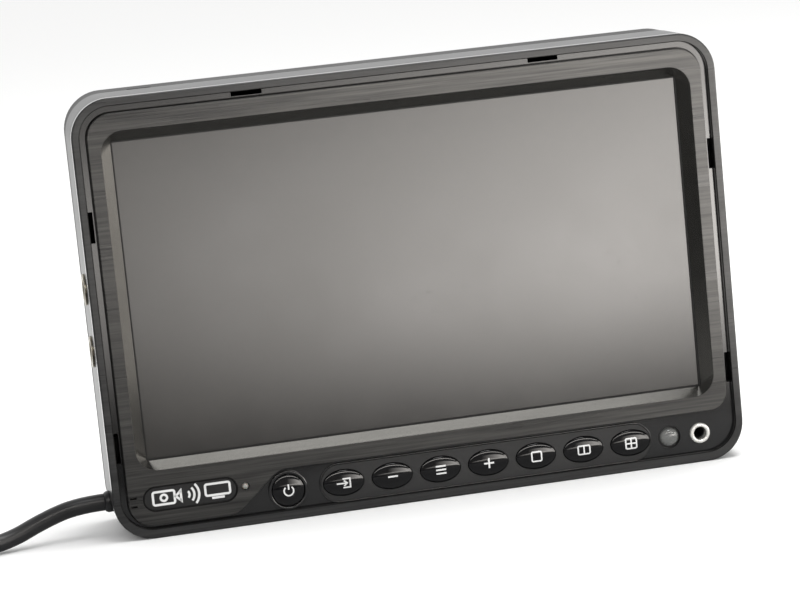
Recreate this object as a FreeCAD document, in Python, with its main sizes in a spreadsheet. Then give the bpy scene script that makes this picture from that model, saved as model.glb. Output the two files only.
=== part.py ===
"""Seven inch rear view monitor: millimetres, X right, -Y towards the viewer, Z up, standing on its lower edge.

Front-facing parts are drawn in a drawing frame: x right, y up from the lower edge, z towards the viewer,
with z = 0 on the front of the rim. FRONT turns that frame upright and centres the depth on the origin.
"""

import FreeCAD, Part
import math
import os
import Sketcher

Vector = FreeCAD.Vector
Rotation = FreeCAD.Rotation
Placement = FreeCAD.Placement

doc = FreeCAD.newDocument("monitor")
sheet = doc.addObject("Spreadsheet::Sheet", "Sizes")

DIMENSIONS = {
    "width": 174.6,
    "height": 118.1,
    "depth": 31.0,
    "corner": 10.5,
    "wall": 2.0,
    "frame_depth": 19.0,
    "rear_inset": 0.45,
    "rim": 1.95,
    "rim_foot": 2.4,
    "floor_depth": 1.6,
    "front_thickness": 3.6,
    "seat_depth": 2.6,
    "slit": 0.35,
    "plate_margin": 4.05,
    "plate_corner": 6.6,
    "plate_foot": 14.0,
    "plate_foot_corner": 5.0,
    "plate_toe": 3.4,
    "sweep_angle": 132.0,
    "sweep_end": 8.0,
    "window_width": 160.0,
    "window_high": 91.0,
    "window_base": 18.3,
    "window_corner": 6.0,
    "bevel_depth": 3.4,
    "screen_width": 154.08,
    "screen_high": 85.92,
    "screen_base": 20.5,
    "collar_width": 162.0,
    "collar_high": 93.0,
    "strip_left": -31.2,
    "strip_length": 92.0,
    "strip_high": 10.0,
    "strip_raise": 0.45,
    "control_line": 7.9,
    "first_key": -25.05,
    "key_pitch": 13.36,
    "key_count": 7,
    "key_long": 11.0,
    "key_short": 7.0,
    "key_gap": 0.2,
    "key_crown": 0.25,
    "key_lip": 0.7,
    "power_place": -40.25,
    "power_wide": 8.7,
    "power_ring": 10.7,
    "power_ring_top": 0.7,
    "sensor_place": 66.4,
    "sensor_wide": 5.0,
    "sensor_recess": 6.4,
    "jack_place": 75.1,
    "jack_ring": 5.6,
    "jack_bore": 3.6,
    "jack_reach": 14.0,
    "light_place": -51.7,
    "light_line": 10.8,
    "light_wide": 2.1,
    "badge_place": -66.55,
    "badge_line": 10.7,
    "badge_long": 25.5,
    "badge_high": 6.8,
    "badge_depth": 0.5,
    "mic_place": -81.9,
    "mic_line": 10.4,
    "mic_pitch": 2.3,
    "mic_long": 1.9,
    "mic_high": 0.55,
    "clip_long": 8.3,
    "clip_across": 40.2,
    "clip_low": 25.2,
    "clip_high": 84.6,
    "clip_wide": 1.5,
    "insert_line": 59.05,
    "insert_pitch": 16.8,
    "insert_depth": 9.8,
    "insert_flange": 8.4,
    "insert_proud": 0.6,
    "insert_barrel": 6.4,
    "insert_reach": 5.2,
    "insert_bore": 4.2,
    "gland_line": 9.5,
    "gland_depth": 10.5,
    "lead_wide": 4.6,
    "gland_wide": 5.8,
    "gland_proud": 1.6,
    "fixing_across": 82.3,
    "fixing_low": 24.0,
    "fixing_high": 106.0,
    "fixing_post": 6.6,
    "panel_wide": 162.0,
    "panel_high": 98.0,
    "panel_base": 14.5,
    "glass_front": 4.0,
    "glass_thick": 1.4,
    "tray_thick": 4.0,
    "key_board_front": 8.5,
    "key_board_thick": 1.2,
    "board_front": 13.0,
    "board_thick": 1.6,
    "board_across": 52.0,
    "board_low": 28.0,
    "board_high": 98.0,
    "notch_place": -66.4,
    "notch_long": 6.4,
    "notch_deep": 1.7,
    "hank_end": -127.5,
    "hank_long": 75.0,
    "hank_wide": 32.2,
    "hank_high": 14.0,
    "hank_waist": 10.8,
    "hank_skin": 0.7,
    "tie_long": 6.0,
    "plug_wide": 15.0,
    "plug_across": -7.0,
    "plug_line": 7.6,
    "plug_start": -227.0,
    "lip_gap": 0.12,
    "stem_wide": 3.2,
    "stem_long": 1.0,
    "vent_first": -48.0,
    "vent_line": 84.0,
    "vent_pitch": 6.0,
    "vent_count": 17,
    "vent_wide": 1.8,
    "slot_high": 16.0,
    "speaker_place": 69.2,
    "speaker_line": 45.0,
    "speaker_wide": 22.0,
    "grille_pitch": 3.6,
    "grille_count": 5,
    "grille_wide": 1.6,
}


class Size:
    """A number that remembers the sheet expression behind it, so that arithmetic stays bound to the sheet."""

    def __init__(self, value, text):
        self.value = float(value)
        self.text = text

    def __add__(self, other):
        return Size(self.value + value(other), f"({self.text} + {words(other)})")

    def __radd__(self, other):
        return Size(value(other) + self.value, f"({words(other)} + {self.text})")

    def __sub__(self, other):
        return Size(self.value - value(other), f"({self.text} - {words(other)})")

    def __rsub__(self, other):
        return Size(value(other) - self.value, f"({words(other)} - {self.text})")

    def __mul__(self, other):
        return Size(self.value * value(other), f"({self.text} * {words(other)})")

    __rmul__ = __mul__

    def __truediv__(self, other):
        return Size(self.value / value(other), f"({self.text} / {words(other)})")

    def __neg__(self):
        return Size(-self.value, f"(-1 * {self.text})")


def value(size):
    """The plain number behind a size."""
    return size.value if isinstance(size, Size) else float(size)


def words(size):
    """The expression text behind a size."""
    return size.text if isinstance(size, Size) else f"{float(size)}"


for row, (alias, number) in enumerate(DIMENSIONS.items(), start=1):
    sheet.set(f"A{row}", alias)
    sheet.set(f"B{row}", f"{number}")
    sheet.setAlias(f"B{row}", alias)
doc.recompute()


class Sheet:
    """Reads the driving dimensions back as sizes: D.width is the cell with the alias width."""

    def __getattr__(self, alias):
        return Size(sheet.get(alias), f"Sizes.{alias}")


D = Sheet()
FRONT = Placement(Vector(0, -value(D.depth) / 2, 0), Rotation(Vector(1, 0, 0), 90))
nodes = []


def bind(target, name, size):
    """Set a property to a size and tie it to the sheet."""
    target.setExpression(name, words(size))


def new_body(label, placement=FRONT):
    """An empty body that becomes one node."""
    body = doc.addObject("PartDesign::Body", label)
    body.Label = label
    body.Placement = placement
    nodes.append(body)
    return body


def origin_part(body, role):
    """One of the body's own origin planes or axes."""
    return next(item for item in body.Origin.OriginFeatures if item.Role == role)


def new_sketch(body, name, offset=0.0, plane="XY_Plane"):
    """A sketch parallel to an origin plane, offset along its normal."""
    sketch = body.newObject("Sketcher::SketchObject", name)
    sketch.AttachmentSupport = [(origin_part(body, plane), "")]
    sketch.MapMode = "FlatFace"
    bind(sketch, "AttachmentOffset.Base.z", offset)
    return sketch


def dimension(sketch, kind, refs, size, name):
    """Add a named dimension to a sketch and bind it."""
    index = sketch.addConstraint(Sketcher.Constraint(kind, *refs, value(size)))
    sketch.renameConstraint(index, name)
    sketch.setExpression(f"Constraints.{name}", words(size))


def circle(sketch, x, y, diameter):
    """A circle with its centre and radius bound to the sheet."""
    geometry = Part.Circle(Vector(value(x), value(y), 0), Vector(0, 0, 1), value(diameter) / 2)
    item = sketch.addGeometry(geometry, False)
    dimension(sketch, "DistanceX", (-1, 1, item, 3), x, f"x{item}")
    dimension(sketch, "DistanceY", (-1, 1, item, 3), y, f"y{item}")
    dimension(sketch, "Radius", (item,), diameter / 2, f"radius{item}")


def ellipse(sketch, x, y, long_axis, short_axis):
    """An upright ellipse whose axes and centre are bound to the sheet."""
    centre = Vector(value(x), value(y), 0)
    major = centre + Vector(value(long_axis) / 2, 0, 0)
    minor = centre + Vector(0, value(short_axis) / 2, 0)
    item = sketch.addGeometry(Part.Ellipse(major, minor, centre), False)
    sketch.exposeInternalGeometry(item)
    sketch.addConstraint(Sketcher.Constraint("Horizontal", item + 1))
    dimension(sketch, "Distance", (item + 1,), long_axis, f"long{item}")
    dimension(sketch, "Distance", (item + 2,), short_axis, f"short{item}")
    dimension(sketch, "DistanceX", (-1, 1, item, 3), x, f"x{item}")
    dimension(sketch, "DistanceY", (-1, 1, item, 3), y, f"y{item}")


def rectangle(sketch, left, base, wide, high):
    """A rectangle with all four sides bound to the sheet."""
    x0, y0 = value(left), value(base)
    x1, y1 = x0 + value(wide), y0 + value(high)
    corners = [Vector(x0, y0, 0), Vector(x1, y0, 0), Vector(x1, y1, 0), Vector(x0, y1, 0)]
    lines = [Part.LineSegment(corners[i], corners[(i + 1) % 4]) for i in range(4)]
    first = sketch.addGeometry(lines, False)[0]
    for i in range(4):
        sketch.addConstraint(Sketcher.Constraint("Coincident", first + i, 2, first + (i + 1) % 4, 1))
    for i, kind in enumerate(("Horizontal", "Vertical", "Horizontal", "Vertical")):
        sketch.addConstraint(Sketcher.Constraint(kind, first + i))
    dimension(sketch, "DistanceX", (-1, 1, first, 1), left, f"left{first}")
    dimension(sketch, "DistanceY", (-1, 1, first, 1), base, f"base{first}")
    dimension(sketch, "DistanceX", (first, 1, first, 2), wide, f"wide{first}")
    dimension(sketch, "DistanceY", (first + 1, 1, first + 1, 2), high, f"high{first}")


def rounded_rectangle(sketch, left, base, wide, high, radius):
    """A rectangle with four equal round corners, bound to the sheet."""
    x0, y0, r = value(left), value(base), value(radius)
    x1, y1 = x0 + value(wide), y0 + value(high)
    turn = math.pi / 2
    starts = [Vector(x0 + r, y0, 0), Vector(x1, y0 + r, 0), Vector(x1 - r, y1, 0), Vector(x0, y1 - r, 0)]
    ends = [Vector(x1 - r, y0, 0), Vector(x1, y1 - r, 0), Vector(x0 + r, y1, 0), Vector(x0, y0 + r, 0)]
    inner_x, inner_y = (x0 + r, x1 - r), (y0 + r, y1 - r)
    centres = [Vector(inner_x[i in (0, 1)], inner_y[i in (1, 2)], 0) for i in range(4)]
    items = []
    for i in range(4):
        items.append(sketch.addGeometry(Part.LineSegment(starts[i], ends[i]), False))
        round_corner = Part.Circle(centres[i], Vector(0, 0, 1), r)
        items.append(sketch.addGeometry(Part.ArcOfCircle(round_corner, turn * (i - 1), turn * i), False))
    for i in range(8):
        sketch.addConstraint(Sketcher.Constraint("Tangent", items[i], 2, items[(i + 1) % 8], 1))
    for i, kind in enumerate(("Horizontal", "Vertical", "Horizontal", "Vertical")):
        sketch.addConstraint(Sketcher.Constraint(kind, items[2 * i]))
    for i in (3, 5, 7):
        sketch.addConstraint(Sketcher.Constraint("Equal", items[1], items[i]))
    name = items[0]
    dimension(sketch, "Radius", (items[1],), radius, f"radius{name}")
    dimension(sketch, "DistanceX", (-1, 1, items[6], 1), left, f"left{name}")
    dimension(sketch, "DistanceY", (-1, 1, items[0], 1), base, f"base{name}")
    dimension(sketch, "DistanceX", (items[6], 1, items[2], 1), wide, f"wide{name}")
    dimension(sketch, "DistanceY", (items[0], 1, items[4], 1), high, f"high{name}")


def centred(sketch, x, y, wide, high, radius):
    """A rounded rectangle about its centre."""
    rounded_rectangle(sketch, x - wide / 2, y - high / 2, wide, high, radius)


def pad(body, sketch, length):
    """Grow the body from a sketch, towards the viewer."""
    feature = body.newObject("PartDesign::Pad", f"{sketch.Name}_pad")
    feature.Profile = sketch
    bind(feature, "Length", length)
    return feature


def pocket(body, sketch, length, outwards=False):
    """Cut a sketch out of the body, away from the viewer unless outwards, and prove that it cut something."""
    doc.recompute()
    before = body.Shape.Volume
    feature = body.newObject("PartDesign::Pocket", f"{sketch.Name}_cut")
    feature.Profile = sketch
    feature.Reversed = outwards
    bind(feature, "Length", length)
    doc.recompute()
    if body.Shape.Volume > before - 0.01:
        raise RuntimeError(f"{sketch.Name} cut nothing")
    return feature


def repeat(body, feature, step, count):
    """Repeat a feature along the body's own X axis."""
    pattern = body.newObject("PartDesign::LinearPattern", f"{feature.Name}_row")
    pattern.Originals = [feature]
    pattern.Direction = (origin_part(body, "X_Axis"), [""])
    bind(pattern, "Length", step * (count - 1))
    bind(pattern, "Occurrences", count)
    body.Tip = pattern
    return pattern


def mirror(body, features):
    """Repeat features on the other side of the body's YZ plane."""
    copy = body.newObject("PartDesign::Mirrored", f"{features[0].Name}_mirror")
    copy.Originals = features
    copy.MirrorPlane = (origin_part(body, "YZ_Plane"), [""])
    body.Tip = copy
    return copy


def dress(body, kind, pick, size):
    """Fillet or chamfer the edges that pick chooses."""
    doc.recompute()
    tip = body.Tip
    names = [f"Edge{i}" for i, edge in enumerate(tip.Shape.Edges, start=1) if pick(edge)]
    feature = body.newObject(f"PartDesign::{kind}", f"{body.Name}_{kind}_{len(body.Group)}")
    feature.Base = (tip, names)
    bind(feature, "Radius" if kind == "Fillet" else "Size", size)
    doc.recompute()
    return feature


def at_height(z):
    """A picker of edges that lie wholly at one height of the body."""

    def pick(edge):
        box = edge.BoundBox
        return abs(box.ZMin - z) < 1e-4 and abs(box.ZMax - z) < 1e-4

    return pick


def add_box(label, x, y, z, wide, high, thick):
    """A plain block in the drawing frame, from its left, lower, rear corner."""
    block = doc.addObject("Part::Box", label)
    block.Label = label
    bind(block, "Length", wide)
    bind(block, "Width", high)
    bind(block, "Height", thick)
    block.Placement = FRONT.multiply(Placement(Vector(value(x), value(y), value(z)), Rotation()))
    nodes.append(block)
    return block


def add_shape(label, shape, placement=FRONT):
    """A node whose shape is worked out from the sheet with Part's own functions."""
    feature = doc.addObject("Part::Feature", label)
    feature.Label = label
    feature.Shape = shape
    feature.Placement = placement
    nodes.append(feature)
    return feature


def turned(label, profile, placement):
    """A body turned about its own Z axis from (radius, height) corners, all bound to the sheet."""
    body = new_body(label, placement)
    sketch = new_sketch(body, f"{label}_profile", plane="XZ_Plane")
    count = len(profile)
    points = [Vector(value(radius), value(height), 0) for radius, height in profile]
    lines = [Part.LineSegment(points[i], points[(i + 1) % count]) for i in range(count)]
    sketch.addGeometry(lines, False)
    for i, (radius, height) in enumerate(profile):
        sketch.addConstraint(Sketcher.Constraint("Coincident", i, 2, (i + 1) % count, 1))
        dimension(sketch, "DistanceX", (-1, 1, i, 1), radius, f"r{i}")
        dimension(sketch, "DistanceY", (-1, 1, i, 1), height, f"h{i}")
    turn = body.newObject("PartDesign::Revolution", f"{label}_turn")
    turn.Profile = sketch
    turn.ReferenceAxis = (sketch, ["V_Axis"])
    turn.Angle = 360
    return body


def facing(x, y, z):
    """A frame whose Z axis points at the viewer from a place in the drawing frame."""
    return FRONT.multiply(Placement(Vector(value(x), value(y), value(z)), Rotation()))


def sideways(x, y, z, side):
    """A frame whose Z axis points right (side 1) or left (side -1) from a place in the drawing frame."""
    return FRONT.multiply(Placement(Vector(value(x), value(y), value(z)), Rotation(Vector(0, 1, 0), 90 * side)))


def block(x, y, z, wide, high, thick):
    """A loose block in the drawing frame, from its left, lower, rear corner."""
    return Part.makeBox(value(wide), value(high), value(thick), Vector(value(x), value(y), value(z)))


def rod(x, y, z, diameter, length):
    """A loose cylinder along the drawing frame's Z axis."""
    return Part.makeCylinder(value(diameter) / 2, value(length), Vector(value(x), value(y), value(z)))


def plate_outline(grow):
    """The face plate's edge, grown outwards: a rectangle whose lower side steps up over the power button.

    Counter-clockwise from the lower left corner: along the toe, up the slanting sweep, over the power
    button on an arc about its centre, along the foot line, then round the other three corners.
    """
    left = value(-D.width / 2 + D.plate_margin) - grow
    right = -left
    top = value(D.height - D.plate_margin) + grow
    toe = value(D.plate_toe) - grow
    foot = value(D.plate_foot) - grow
    outer = value(D.plate_corner) + grow
    heel = value(D.plate_foot_corner) + grow
    end = value(D.sweep_end) + grow
    angle = math.radians(value(D.sweep_angle))
    hub = Vector(value(D.power_place), value(D.control_line), 0)
    over = foot - hub.y
    slope = angle - math.pi / 2
    along = Vector(math.cos(slope), math.sin(slope), 0)
    leave = hub + Vector(math.cos(angle), math.sin(angle), 0) * over
    meet = leave - along * ((leave.y - toe) / along.y)
    reach = end * math.tan(slope / 2)

    def arc(centre, radius, start, stop):
        return Part.ArcOfCircle(Part.Circle(centre, Vector(0, 0, 1), radius), start, stop)

    quarter = math.pi / 2
    return [
        Part.LineSegment(Vector(left + outer, toe, 0), Vector(meet.x - reach, toe, 0)),
        arc(Vector(meet.x - reach, toe + end, 0), end, -quarter, -quarter + slope),
        Part.LineSegment(meet + along * reach, leave),
        arc(hub, over, quarter, angle),
        Part.LineSegment(Vector(hub.x, foot, 0), Vector(right - heel, foot, 0)),
        arc(Vector(right - heel, foot + heel, 0), heel, -quarter, 0),
        Part.LineSegment(Vector(right, foot + heel, 0), Vector(right, top - outer, 0)),
        arc(Vector(right - outer, top - outer, 0), outer, 0, quarter),
        Part.LineSegment(Vector(right - outer, top, 0), Vector(left + outer, top, 0)),
        arc(Vector(left + outer, top - outer, 0), outer, quarter, 2 * quarter),
        Part.LineSegment(Vector(left, top - outer, 0), Vector(left, toe + outer, 0)),
        arc(Vector(left + outer, toe + outer, 0), outer, 2 * quarter, 3 * quarter),
    ]


def key_places():
    """The x of each oval key, left to right."""
    return [D.first_key + D.key_pitch * i for i in range(int(value(D.key_count)))]


KEY_NAMES = (
    "source_button",
    "minus_button",
    "menu_button",
    "plus_button",
    "single_view_button",
    "split_view_button",
    "quad_view_button",
)


def make_front_frame():
    """The moulded front half: rim, sunken floor, plate seat, key strip, screw bosses and insert bosses."""
    body = new_body("front_frame")
    shell = new_sketch(body, "frame_shell", -D.frame_depth)
    rounded_rectangle(shell, -D.width / 2, 0, D.width, D.height, D.corner)
    pad(body, shell, D.frame_depth)
    dress(body, "Fillet", at_height(0.0), 0.5)
    dress(body, "Chamfer", at_height(-value(D.frame_depth)), 0.3)

    cavity = new_sketch(body, "frame_cavity", -D.front_thickness)
    inner = D.corner - D.wall
    rounded_rectangle(cavity, D.wall - D.width / 2, D.wall, D.width - 2 * D.wall, D.height - 2 * D.wall, inner)
    pocket(body, cavity, D.frame_depth - D.front_thickness)

    floor = new_sketch(body, "frame_floor")
    floor_high = D.height - D.rim - D.rim_foot
    rounded_rectangle(floor, D.rim - D.width / 2, D.rim_foot, D.width - 2 * D.rim, floor_high, D.corner - D.rim)
    pocket(body, floor, D.floor_depth)

    seat = new_sketch(body, "plate_seat", -D.floor_depth)
    seat.addGeometry(plate_outline(value(D.slit)), False)
    pocket(body, seat, D.seat_depth - D.floor_depth)

    opening = new_sketch(body, "window_opening", -D.seat_depth)
    opening_middle = D.window_base + D.window_high / 2
    centred(opening, 0.0, opening_middle, D.collar_width + 0.6, D.collar_high + 0.6, 1.5)
    pocket(body, opening, D.front_thickness - D.seat_depth)

    strip = new_sketch(body, "key_strip", -D.floor_depth)
    strip_base = D.control_line - D.strip_high / 2
    rounded_rectangle(strip, D.strip_left, strip_base, D.strip_length, D.strip_high, D.strip_high / 2 - 0.01)
    pad(body, strip, D.strip_raise)

    ring = new_sketch(body, "power_ring", -D.floor_depth)
    circle(ring, D.power_place, D.control_line, D.power_ring)
    circle(ring, D.power_place, D.control_line, D.power_wide + 2 * D.key_gap)
    pad(body, ring, D.floor_depth - D.power_ring_top)
    dress(body, "Fillet", at_height(-value(D.power_ring_top)), 0.25)

    key = new_sketch(body, "key_hole", -D.floor_depth + D.strip_raise)
    ellipse(key, D.first_key, D.control_line, D.key_long + 2 * D.key_gap, D.key_short + 2 * D.key_gap)
    key_cut = pocket(body, key, D.front_thickness)
    repeat(body, key_cut, D.key_pitch, D.key_count)

    holes = new_sketch(body, "front_holes", -D.floor_depth)
    circle(holes, D.power_place, D.control_line, D.power_wide + 2 * D.key_gap)
    circle(holes, D.sensor_place, D.control_line, D.sensor_wide + 0.2)
    circle(holes, D.jack_place, D.control_line, D.jack_ring + 0.1)
    circle(holes, D.light_place, D.light_line, D.light_wide + 0.4)
    for side in (-1, 1):
        rectangle(
            holes,
            D.mic_place - D.mic_long / 2,
            D.mic_line + side * D.mic_pitch / 2 - D.mic_high / 2,
            D.mic_long,
            D.mic_high,
        )
    pocket(body, holes, D.front_thickness)
    recess = new_sketch(body, "sensor_recess", -D.floor_depth)
    circle(recess, D.sensor_place, D.control_line, D.sensor_recess)
    pocket(body, recess, 0.7)

    clips = new_sketch(body, "clip_slots", -D.floor_depth)
    for x in (-D.clip_across, D.clip_across):
        rectangle(clips, x - D.clip_long / 2, D.height - D.rim - D.clip_wide, D.clip_long, D.clip_wide)
    for y in (D.clip_low, D.clip_high):
        rectangle(clips, D.rim - D.width / 2, y - D.clip_long / 2, D.clip_wide, D.clip_long)
        rectangle(clips, D.width / 2 - D.rim - D.clip_wide, y - D.clip_long / 2, D.clip_wide, D.clip_long)
    pocket(body, clips, D.front_thickness)

    posts = new_sketch(body, "screw_bosses", -D.frame_depth)
    pilot = new_sketch(body, "screw_pilots", -D.frame_depth)
    for x in (-D.fixing_across, D.fixing_across):
        for y in (D.fixing_low, D.fixing_high):
            circle(posts, x, y, D.fixing_post)
            circle(pilot, x, y, 2.5)
    pad(body, posts, 9.0)
    pocket(body, pilot, 8.0, outwards=True)

    boss_root = D.width / 2 - D.wall - 3.3
    bosses = new_sketch(body, "insert_bosses", boss_root, "YZ_Plane")
    sockets = new_sketch(body, "insert_sockets", D.width / 2, "YZ_Plane")
    for side in (-1, 1):
        line = D.insert_line + side * D.insert_pitch / 2
        circle(bosses, line, -D.insert_depth, D.insert_flange + 0.6)
        circle(sockets, line, -D.insert_depth, D.insert_barrel)
    boss = pad(body, bosses, 3.4)
    socket = pocket(body, sockets, 6.0)
    mirror(body, [boss, socket])

    outlet = new_sketch(body, "lead_outlet", -D.width / 2 - 1.0, "YZ_Plane")
    circle(outlet, D.gland_line, -D.gland_depth, D.gland_wide)
    pocket(body, outlet, D.wall + 5.0, outwards=True)


def make_face_plate():
    """The brushed plate: its window falls on four bevels to the screen, and it wraps the badge at lower left."""
    body = new_body("face_plate")
    slab = new_sketch(body, "plate_slab", -D.seat_depth)
    slab.addGeometry(plate_outline(0.0), False)
    pad(body, slab, D.seat_depth)
    dress(body, "Fillet", at_height(0.0), 0.25)
    middle = D.window_base + D.window_high / 2
    collar = new_sketch(body, "plate_collar", -D.bevel_depth)
    centred(collar, 0.0, middle, D.collar_width, D.collar_high, 1.2)
    pad(body, collar, D.bevel_depth - D.seat_depth)
    outer = new_sketch(body, "window_outer", 0.0)
    centred(outer, 0.0, middle, D.window_width, D.window_high, D.window_corner)
    inner = new_sketch(body, "window_inner", -D.bevel_depth)
    screen_middle = D.screen_base + D.screen_high / 2
    centred(inner, 0.0, screen_middle, D.screen_width, D.screen_high, 0.8)
    doc.recompute()
    before = body.Shape.Volume
    bevel = body.newObject("PartDesign::SubtractiveLoft", "window_bevel")
    bevel.Profile = outer
    bevel.Sections = [inner]
    bevel.Ruled = True
    doc.recompute()
    if body.Shape.Volume > before - 100:
        raise RuntimeError("the window bevel cut nothing")
    badge = new_sketch(body, "badge_recess", 0.0)
    centred(badge, D.badge_place, D.badge_line, D.badge_long, D.badge_high, D.badge_high / 2 - 0.01)
    pocket(body, badge, D.badge_depth)
    holes = new_sketch(body, "plate_holes", 0.0)
    circle(holes, D.light_place, D.light_line, D.light_wide + 0.1)
    for side in (-1, 1):
        rectangle(
            holes,
            D.mic_place - D.mic_long / 2,
            D.mic_line + side * D.mic_pitch / 2 - D.mic_high / 2,
            D.mic_long,
            D.mic_high,
        )
    pocket(body, holes, D.seat_depth)


def make_rear_cover():
    """The moulded rear half: shell, screw columns, board posts, vents, speaker slots and the prying notch."""
    body = new_body("rear_cover")
    wide = D.width - 2 * D.rear_inset
    shell = new_sketch(body, "cover_shell", -D.depth)
    rounded_rectangle(shell, -wide / 2, 0, wide, D.height, D.corner)
    pad(body, shell, D.depth - D.frame_depth)
    dress(body, "Fillet", at_height(-value(D.depth)), 2.0)
    dress(body, "Chamfer", at_height(-value(D.frame_depth)), 0.3)
    cavity = new_sketch(body, "cover_cavity", -D.frame_depth)
    rounded_rectangle(
        cavity, D.wall - wide / 2, D.wall, wide - 2 * D.wall, D.height - 2 * D.wall, D.corner - D.wall
    )
    inside = D.depth - D.wall
    pocket(body, cavity, inside - D.frame_depth)
    columns = new_sketch(body, "screw_columns", -inside)
    heads = new_sketch(body, "screw_wells", -D.depth)
    shanks = new_sketch(body, "screw_shanks", -D.frame_depth)
    for x in (-D.fixing_across, D.fixing_across):
        for y in (D.fixing_low, D.fixing_high):
            circle(columns, x, y, D.fixing_post)
            circle(heads, x, y, 5.4)
            circle(shanks, x, y, 3.0)
    pad(body, columns, inside - D.frame_depth)
    pocket(body, heads, 6.0, outwards=True)
    pocket(body, shanks, 7.0)
    posts = new_sketch(body, "board_posts", -inside)
    pilots = new_sketch(body, "board_pilots", -D.board_front - D.board_thick)
    for x in (-D.board_across, D.board_across):
        for y in (D.board_low, D.board_high):
            circle(posts, x, y, 6.0)
            circle(pilots, x, y, 2.0)
    pad(body, posts, inside - D.board_front - D.board_thick)
    pocket(body, pilots, 8.0)
    vent = new_sketch(body, "vent_slot", -D.depth)
    centred(vent, D.vent_first, D.vent_line, D.vent_wide, D.slot_high, 0.85)
    repeat(body, pocket(body, vent, D.wall + 0.5, outwards=True), D.vent_pitch, D.vent_count)
    grille = new_sketch(body, "speaker_slot", -D.depth)
    first_slot = D.speaker_place - D.grille_pitch * (D.grille_count - 1) / 2
    centred(grille, first_slot, D.speaker_line, D.grille_wide, D.slot_high, 0.75)
    repeat(body, pocket(body, grille, D.wall + 0.5, outwards=True), D.grille_pitch, D.grille_count)
    notch = new_sketch(body, "prying_notch", -D.frame_depth)
    rectangle(notch, D.notch_place - D.notch_long / 2, D.height - 0.9, D.notch_long, 1.5)
    pocket(body, notch, D.notch_deep)


def make_keys():
    """Eight separate caps, each with a lip behind the front wall and a stem over its switch."""
    lip_top = D.front_thickness + D.lip_gap
    lip_base = lip_top + D.key_lip
    for name, place in zip(KEY_NAMES, key_places()):
        body = new_body(name)
        stem = new_sketch(body, f"{name}_stem", -lip_base - D.stem_long)
        circle(stem, place, D.control_line, D.stem_wide)
        pad(body, stem, D.stem_long + 0.2)
        lip = new_sketch(body, f"{name}_lip", -lip_base)
        ellipse(lip, place, D.control_line, D.key_long + 1.4, D.key_short + 1.4)
        pad(body, lip, D.key_lip)
        cap = new_sketch(body, f"{name}_cap", -lip_top)
        ellipse(cap, place, D.control_line, D.key_long, D.key_short)
        pad(body, cap, lip_top - D.key_crown)
        dress(body, "Fillet", at_height(-value(D.key_crown)), 1.1)
    top = value(lip_top - D.key_crown)
    turned(
        "power_button",
        [
            (0.0, -D.key_lip - D.stem_long),
            (D.stem_wide / 2, -D.key_lip - D.stem_long),
            (D.stem_wide / 2, -D.key_lip),
            (D.power_wide / 2 + 0.7, -D.key_lip),
            (D.power_wide / 2 + 0.7, 0.0),
            (D.power_wide / 2, 0.0),
            (D.power_wide / 2, lip_top - D.key_crown),
            (0.0, lip_top - D.key_crown),
        ],
        facing(D.power_place, D.control_line, -lip_top),
    )
    dress(nodes[-1], "Fillet", at_height(top), 1.1)


def make_front_fittings():
    """The small pieces that show in the control panel."""
    back = D.front_thickness
    turned(
        "sensor_window",
        [
            (0.0, -2.4),
            (D.sensor_wide / 2 + 0.7, -2.4),
            (D.sensor_wide / 2 + 0.7, -1.4),
            (D.sensor_wide / 2, -1.4),
            (D.sensor_wide / 2, 1.9),
            (0.0, 1.9),
        ],
        facing(D.sensor_place, D.control_line, -back + 1.3),
    )
    dress(nodes[-1], "Fillet", at_height(1.9), 1.6)
    bore = D.jack_bore / 2
    turned(
        "jack_ring",
        [
            (bore, -0.2),
            (D.jack_ring / 2, -0.2),
            (D.jack_ring / 2, 2.9),
            (bore, 2.9),
        ],
        facing(D.jack_place, D.control_line, -back),
    )
    dress(nodes[-1], "Chamfer", at_height(2.9), 0.25)
    body = new_body("jack_socket")
    block_sketch = new_sketch(body, "jack_block", -back - 0.2 - D.jack_reach)
    centred(block_sketch, D.jack_place, D.control_line, 7.2, 9.0, 0.6)
    pad(body, block_sketch, D.jack_reach)
    bore_sketch = new_sketch(body, "jack_bore", -back - 0.2)
    circle(bore_sketch, D.jack_place, D.control_line, D.jack_bore)
    pocket(body, bore_sketch, D.jack_reach - 2.9)
    turned(
        "status_light",
        [
            (0.0, -4.9),
            (1.5, -4.9),
            (1.5, -4.0),
            (D.light_wide / 2, -4.0),
            (D.light_wide / 2, -0.25),
            (0.0, -0.25),
        ],
        facing(D.light_place, D.light_line, 0),
    )
    dress(nodes[-1], "Fillet", at_height(-0.25), 0.6)
    body = new_body("badge_inlay")
    inlay = new_sketch(body, "badge_plate", -D.badge_depth)
    centred(inlay, D.badge_place, D.badge_line, D.badge_long - 0.3, D.badge_high - 0.3, D.badge_high / 2 - 0.17)
    pad(body, inlay, 0.25)


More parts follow.
